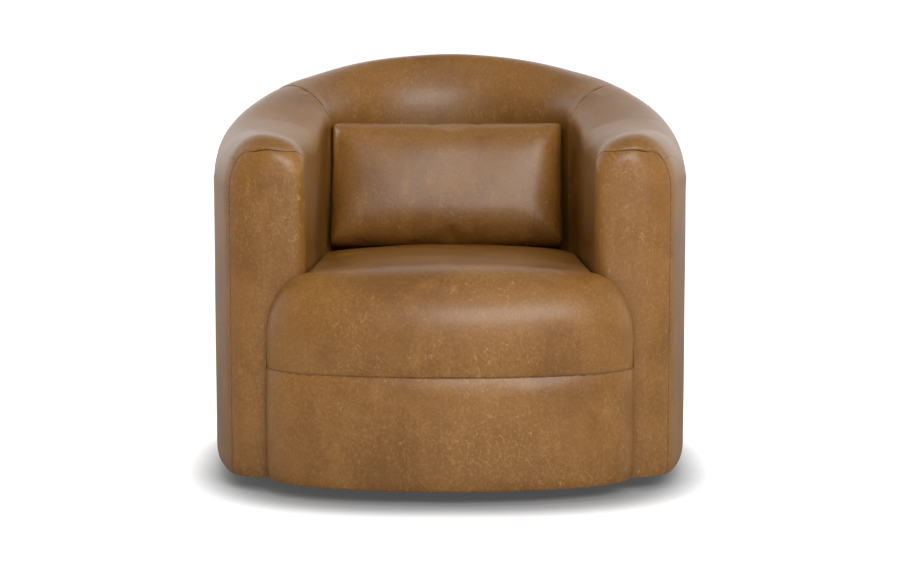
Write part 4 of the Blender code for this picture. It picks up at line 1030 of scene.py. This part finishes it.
# %% Socket
class Value:
    """A number, colour or vector that a material's nodes work out. Arithmetic adds nodes."""

    def __init__(self, tree, socket):
        self.tree = tree
        self.socket = socket

    def node(self, kind, settings=None, inputs=None, out=0):
        """Add any node: its type, its settings (set first), and values or links for its sockets."""
        made = self.tree.nodes.new(kind)
        for key, setting in (settings or {}).items():
            setattr(made, key, setting)
        for key, value in (inputs or {}).items():
            if isinstance(value, Value):
                self.tree.links.new(value.socket, made.inputs[key])
            else:
                made.inputs[key].default_value = value
        return Value(self.tree, made.outputs[out])

    def maths(self, operation, first, second=0.0):
        """A Math node on one or two numbers."""
        return self.node("ShaderNodeMath", {"operation": operation}, {0: first, 1: second})

    def __add__(self, other):
        return self.maths("ADD", self, other)

    __radd__ = __add__

    def __mul__(self, other):
        return self.maths("MULTIPLY", self, other)

    __rmul__ = __mul__

    def __sub__(self, other):
        return self.maths("SUBTRACT", self, other)

    def __rsub__(self, other):
        return self.maths("SUBTRACT", other, self)

    def __pow__(self, other):
        return self.maths("POWER", self, other)

    def __abs__(self):
        return self.maths("ABSOLUTE", self)

    def larger(self, other):
        """The larger of this number and another."""
        return self.maths("MAXIMUM", self, other)

    def between(self, low, high):
        """0 below low, 1 above high and an even S between them."""
        inputs = {"Value": self, "From Min": low, "From Max": high}
        return self.node("ShaderNodeMapRange", {"interpolation_type": "SMOOTHSTEP"}, inputs)

    def colours(self, none, full):
        """A colour that goes from one to another as this share goes from 0 to 1."""
        ends = [(*end, 1.0) if isinstance(end, tuple) else end for end in (none, full)]
        return self.node("ShaderNodeMix", {"data_type": "RGBA"}, {0: self, 6: ends[0], 7: ends[1]}, 2)

    def mix(self, other, share):
        """This colour turned towards another by a share."""
        return share.colours(self, other)

    def grey(self):
        """The grey colour of this brightness."""
        return self.node("ShaderNodeCombineColor", None, {0: self, 1: self, 2: self})

    def shade(self, factor):
        """This colour times a grey factor."""
        settings = {"data_type": "RGBA", "blend_type": "MULTIPLY"}
        return self.node("ShaderNodeMix", settings, {0: 1.0, 6: self, 7: factor.grey()}, 2)

    def scaled(self, x, y, z):
        """This vector stretched along each axis."""
        return self.node("ShaderNodeVectorMath", {"operation": "MULTIPLY"}, {0: self, 1: (x, y, z)})

    def moved(self, x, y, z):
        """This vector plus another."""
        return self.node("ShaderNodeVectorMath", {"operation": "ADD"}, {0: self, 1: (x, y, z)})

    def part(self, axis):
        """One part of this vector: 0 for x, 1 for y, 2 for z."""
        return self.node("ShaderNodeSeparateXYZ", None, {0: self}, axis)

    def noise(self, scale, detail=2.0, roughness=0.5, distortion=0.0):
        """Soft random values over this vector."""
        inputs = {"Vector": self, "Scale": scale, "Detail": detail, "Roughness": roughness}
        return self.node("ShaderNodeTexNoise", None, inputs | {"Distortion": distortion})

    def pebbles(self, scale):
        """Distances from the edges of this vector's random cells."""
        settings = {"feature": "DISTANCE_TO_EDGE"}
        return self.node("ShaderNodeTexVoronoi", settings, {"Vector": self, "Scale": scale})

    def bump(self, strength, distance):
        """A surface direction that makes this height stand out."""
        return self.node("ShaderNodeBump", None, {"Strength": strength, "Distance": distance, "Height": self})


def new_material(name):
    """An empty Principled material, and its Object coordinates as a Value."""
    material = bpy.data.materials.new(name)
    material.use_nodes = True
    tree = material.node_tree
    return material, Value(tree, tree.nodes.new("ShaderNodeTexCoord").outputs["Object"])


def feed(material, **finish):
    """Link each value to the shader's socket of that name, or set a number or colour on it. A space in the
    socket's name is written as an underscore."""
    shader = material.node_tree.nodes["Principled BSDF"]
    for name, value in finish.items():
        socket = shader.inputs[name.replace("_", " ")]
        if isinstance(value, Value):
            value.tree.links.new(value.socket, socket)
        else:
            socket.default_value = value
    return material


# %% [markdown]
# ## The leather
# It is a waxed pull-up leather: the wax makes the brown darker where it is whole and lets a golden tan
# through where the hide was stretched or scratched. Close up it has a fine pebbled grain, patches of tan,
# and many short curved hair-like scratches. Contour lines of a noise make such scratches: where the noise
# crosses one value there is a thin curved line, and a second noise cuts the line into short pieces. A weak
# coat stands for the wax: its shine is a little sharper than the leather's own.

# %% Leather
HIDE_DEEP = (0.178, 0.070, 0.0105)
HIDE_BROWN = (0.255, 0.108, 0.0180)
HIDE_TAN = (0.360, 0.165, 0.034)
HIDE_GOLD = (0.520, 0.290, 0.085)
SCRATCHES = ((52.0, 0.011, 75.0, 1.0), (95.0, 0.015, 110.0, 0.85), (150.0, 0.020, 130.0, 0.75))


def scratches(place, scale, width, cut_scale, seed):
    """Thin golden hairs: 1 where a stretched noise lies within a narrow band about 0.5, kept only where a
    second noise is above a half."""
    shifted = place.moved(seed * 1.7, seed * 0.9, seed * 2.3)
    lines = shifted.scaled(1.0, 1.0, 0.45).noise(scale, 1.0, 0.4, 0.6)
    near = abs(lines - 0.5).between(width, width * 0.25)
    return near * shifted.noise(cut_scale, 1.0).between(0.50, 0.56)


def make_leather():
    """Brown clouds, streaks and speckles, then the scratches, and painted shade in the seams; the height
    under it all is the grain's pebbles, finer pores and wrinkles, less the scratches."""
    material, place = new_material("pull_up_leather")
    mottle = place.noise(5.5, 5.0, 0.62, 0.4)
    streaks = place.scaled(1.0, 1.0, 0.35).noise(26.0, 4.0, 0.65)
    speckle = place.noise(210.0, 3.0, 0.6)
    base = mottle.between(0.32, 0.62).colours(HIDE_DEEP, HIDE_BROWN)
    base = base.mix(HIDE_TAN, streaks.between(0.50, 0.80) * 0.55)
    base = base.mix(HIDE_DEEP, speckle.between(0.60, 0.38) * 0.34)
    base = base.mix(HIDE_TAN, speckle.between(0.50, 0.72) * 0.34)
    hairs = None
    for seed, (scale, width, cut_scale, strength) in enumerate(SCRATCHES, 1):
        finer_hairs = scratches(place, scale, width, cut_scale, seed)
        hairs = finer_hairs if hairs is None else hairs.larger(finer_hairs * strength)
    hairs = hairs * (0.18 + place.noise(7.0, 3.0, 0.55).between(0.40, 0.62) * 0.82)
    # Painted shade: the crease value darkens the brown by up to 45 per cent in seams and where the seat meets
    # the arms and back.
    crease = place.node("ShaderNodeAttribute", {"attribute_name": "crease"}, None, 2)
    base = base.mix(HIDE_GOLD, hairs * 0.46).shade(1.0 - crease * 0.45)
    rough = 0.33 + mottle.between(0.3, 0.7) * 0.07 + speckle.between(0.4, 0.7) * 0.05 + hairs * 0.10
    pebbles = place.pebbles(620.0).between(0.0, 0.35)
    pores = place.noise(1500.0, 2.0)
    wrinkles = place.noise(95.0, 4.0, 0.6, 0.5)
    height = pebbles * 0.35 + pores * 0.15 + wrinkles * 0.6 - hairs * 0.35
    feed(material, Base_Color=base, Roughness=rough + crease * 0.2, Normal=height.bump(0.48, 0.0007))
    return feed(material, Specular_IOR_Level=0.55, Coat_Weight=0.23, Coat_Roughness=0.24)


leather = make_leather()
print("leather made with", len(leather.node_tree.nodes), "nodes")

# %% [markdown]
# ## The hidden materials
# The frame's own parts keep their meshes. They are seldom seen, only from below, but each gets the finish
# that its real counterpart has: grain and pores in the wood, a nap on felt and cloth, a brushed zinc
# plating.

# %% Wood, cloth and metal
def make_wood(name, light, dark, size):
    """Wood: rings as a noise stretched along x, fine pores, and a satin surface."""
    material, place = new_material(name)
    grain = place.scaled(0.12, 1.0, 1.0).noise(size, 5.0, 0.6, 1.2)
    pores = place.scaled(0.05, 1.0, 1.0).noise(size * 14, 2.0)
    base = grain.between(0.3, 0.7).colours(dark, light).shade(1.0 - pores.between(0.6, 0.75) * 0.35)
    return feed(material, Base_Color=base, Roughness=0.5 + grain * 0.2, Normal=pores.bump(0.3, 0.0004))


def make_cloth(name, colour, pale, scale):
    """Felt or non-woven cloth: matted fibres as two crossed stretched noises."""
    material, place = new_material(name)
    one = place.scaled(1.0, 0.2, 1.0).noise(scale, 3.0, 0.7)
    two = place.scaled(0.2, 1.0, 1.0).noise(scale, 3.0, 0.7)
    fibres = (one + two) * 0.5
    base = fibres.between(0.4, 0.62).colours(colour, pale)
    return feed(material, Base_Color=base, Roughness=0.85 + fibres * 0.1, Normal=fibres.bump(0.5, 0.0006))


def make_hard(name, colour, worn, scale, roughness, metallic=0.0):
    """Plated steel, paint or nylon: a colour that clouds a little, with fine scuffs in its roughness."""
    material, place = new_material(name)
    cloud = place.noise(scale, 4.0, 0.6)
    scuff = place.scaled(1.0, 0.08, 1.0).noise(scale * 18, 2.0)
    base = cloud.between(0.35, 0.7).colours(colour, worn)
    rough = roughness + scuff.between(0.4, 0.7) * 0.18
    return feed(material, Base_Color=base, Roughness=rough, Metallic=metallic)


FINISHES = (
    ("plywood", make_wood, "birch_plywood", (0.62, 0.44, 0.25), (0.46, 0.29, 0.14), 26.0),
    ("timber", make_wood, "beech_timber", (0.55, 0.35, 0.18), (0.38, 0.21, 0.095), 18.0),
    ("felt", make_cloth, "grey_felt", (0.20, 0.20, 0.195), (0.40, 0.40, 0.385), 420.0),
    ("black_cloth", make_cloth, "black_dust_cloth", (0.010, 0.010, 0.011), (0.035, 0.035, 0.037), 520.0),
    ("foam", make_cloth, "cream_foam", (0.66, 0.60, 0.42), (0.80, 0.74, 0.56), 700.0),
    ("spring_steel", make_hard, "spring_steel_dark", (0.24, 0.24, 0.25), (0.36, 0.35, 0.34), 60.0, 0.34, 1.0),
    ("zinc_steel", make_hard, "zinc_plated_steel", (0.56, 0.57, 0.58), (0.68, 0.67, 0.62), 40.0, 0.26, 1.0),
    ("black_paint", make_hard, "black_satin_paint", (0.014, 0.013, 0.012), (0.028, 0.026, 0.024), 22.0, 0.45),
    ("nylon", make_hard, "grey_nylon", (0.030, 0.030, 0.030), (0.052, 0.052, 0.050), 55.0, 0.42),
)
finishes = {slot: make(name, *measures) for slot, make, name, *measures in FINISHES}
finishes["leather"] = leather
print("finishes:", ", ".join(sorted(finishes)))

# %% [markdown]
# ## Dressing the frame
# Each upholstered piece rides on the body that carries it and hides the plain solids it stands for. The
# frame's own parts get their finish by the slot that the record gives them.

# %% Ride, replace and finish
def dress(thing, body, *stands_for, fill=None):
    """Put leather on a piece, hang it on the body that it rides on and hide the plain solids that it
    stands for. fill, how full a padded piece is, is not used."""
    thing.data.materials.clear()
    thing.data.materials.append(leather)
    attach(thing, body)
    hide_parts(*stands_for)


dress(back_pad, "chair", "inside_back_cover", "back_foam", fill=0.8)
for name in ("left", "right"):
    dress(arm_pads[name], "chair", "arm_cover_" + name, "arm_foam_" + name, fill=0.85)
    dress(arm_fronts[name], "chair", "arm_front_panel_" + name, "arm_front_pad_" + name, fill=0.85)
dress(outside, "chair", "outside_cover")
dress(seat_pad, "chair", "seat_cover", "seat_foam", fill=0.8)
dress(base_front, "chair", "base_front_cover", "base_front_padding", fill=0.9)
dress(pillow, "pillow", "pillow_front_cover", "pillow_back_cover", "pillow_fill", fill=0.75)

slots = {entry["node"]: entry["material_slot"] for entry in frame["record"]["subparts"]}
for node, thing in nodes.items():
    for place in thing.material_slots:
        place.material = finishes[slots[node]]
print("finished", len(nodes), "frame nodes")

# %% [markdown]
# ## The floor
# The photograph was cut out on white, with only a soft dark rim of shadow round the chair. So the floor is a
# mid grey that takes the lamps' real shadow near the chair, and beyond a rounded square it glows until it is
# white: that glow is painted light, and its fall-off towards the chair paints the tight rim of contact
# shadow. Glossy surfaces don't see it, or the leather's lower half would turn grey.

# %% Floor
FLOOR_REACH = 14.0
FLOOR_GREYS = ((0.37, 0.37, 0.37), (0.39, 0.39, 0.39))
GLOW_LEAST = 0.07
GLOW_FROM = 0.385
GLOW_TO = 0.52
GLOW_POWER = 2.8


def make_floor_finish():
    """Mid grey, with a glow that grows with the distance from the chair's middle. That distance is the root
    of power n of the sum of both powers n, so its contours are rounded squares. The glow is painted light,
    and where it stays low round the chair it leaves a painted contact shadow."""
    material, place = new_material("floor_painted_glow_and_shadow")
    shifted = place.moved(0.0, 0.04, 0.0)
    far = (abs(shifted.part(0)) ** GLOW_POWER + abs(shifted.part(1)) ** GLOW_POWER) ** (1 / GLOW_POWER)
    # Painted light and shadow: the floor glows away from the chair and stays dark in a ring round it.
    glow = (GLOW_LEAST + far.between(GLOW_FROM, GLOW_TO) * (1 - GLOW_LEAST)).grey()
    feed(material, Base_Color=place.noise(2.0, 2.0).colours(*FLOOR_GREYS), Emission_Color=glow)
    return feed(material, Emission_Strength=1.0, Roughness=0.7, Specular_IOR_Level=0.1)


corners = [(x * FLOOR_REACH, y * FLOOR_REACH, 0) for x, y in ((-1, -1), (1, -1), (1, 1), (-1, 1))]
floor_mesh = bpy.data.meshes.new("floor")
floor_mesh.from_pydata(corners, [], [(0, 1, 2, 3)])
floor_mesh.materials.append(make_floor_finish())
floor = bpy.data.objects.new("floor", floor_mesh)
floor.visible_glossy = False
scene.collection.objects.link(floor)
print("floor", 2 * FLOOR_REACH, "m wide")

# %% [markdown]
# ## The light
# The shine comes from two things: one large soft light, high on the right of the camera, and the dome,
# which is bright only behind the chair and near the horizon. There it puts the pale sheen on surfaces that
# turn away from you; elsewhere it is dim, so that the leather keeps its depth. The other two lights fill
# the shadows on matt surfaces alone. The camera itself sees the dome as plain white.

# %% World
DOME_DARK = 0.155
DOME_BACK = 1.18
DOME_SEEN = 1.05

world = bpy.data.worlds.new("white_dome")
world.use_nodes = True
sky = world.node_tree
direction = Value(sky, sky.nodes.new("ShaderNodeTexCoord").outputs["Generated"])
behind = direction.part(1).between(-0.25, 0.55)
upward = direction.part(2)
band = upward.between(-0.21, 0.12) * (1.0 - upward.between(0.45, 0.84))
seen = Value(sky, sky.nodes.new("ShaderNodeLightPath").outputs["Is Camera Ray"])
bright = (DOME_DARK + (DOME_BACK - DOME_DARK) * (behind * band)).larger(seen * DOME_SEEN)
sky.links.new(bright.socket, sky.nodes["Background"].inputs["Strength"])
sky.nodes["Background"].inputs["Color"].default_value = (1.0, 1.0, 1.0, 1.0)
scene.world = world
scene.view_settings.view_transform = "Standard"
print("dome from", DOME_DARK, "to", DOME_BACK)

# %% Lights
WHITE = (1.0, 1.0, 1.0)
DAYLIGHT = (0.93, 0.965, 1.0)
LIGHTS = {
    "key_light": ((1.28, -3.52, 2.35), (0, 0, 0.45), (3.2, 1.6), 111, True, DAYLIGHT),
    "fill_light": ((-1.5, -3.6, 1.7), (0, 0, 0.40), (2.4, 2.4), 12, False, WHITE),
    "top_light": ((0.1, -0.9, 3.2), (0, 0, 0.4), (2.0, 2.0), 33, False, WHITE),
}


def soft_light(name, spot, aim, size, power, mirrored, colour):
    """An area light at a spot, turned to aim at a point. Unless it is mirrored, only matt surfaces feel
    it."""
    data = bpy.data.lights.new(name, "AREA")
    data.shape = "RECTANGLE"
    data.size, data.size_y = size
    data.energy = power
    data.color = colour
    lamp = bpy.data.objects.new(name, data)
    lamp.location = spot
    lamp.rotation_mode = "QUATERNION"
    lamp.rotation_quaternion = (Vector(aim) - Vector(spot)).to_track_quat("-Z", "Y")
    lamp.visible_glossy = mirrored
    scene.collection.objects.link(lamp)


for name, measures in LIGHTS.items():
    soft_light(name, *measures)
print("lights:", ", ".join(LIGHTS))
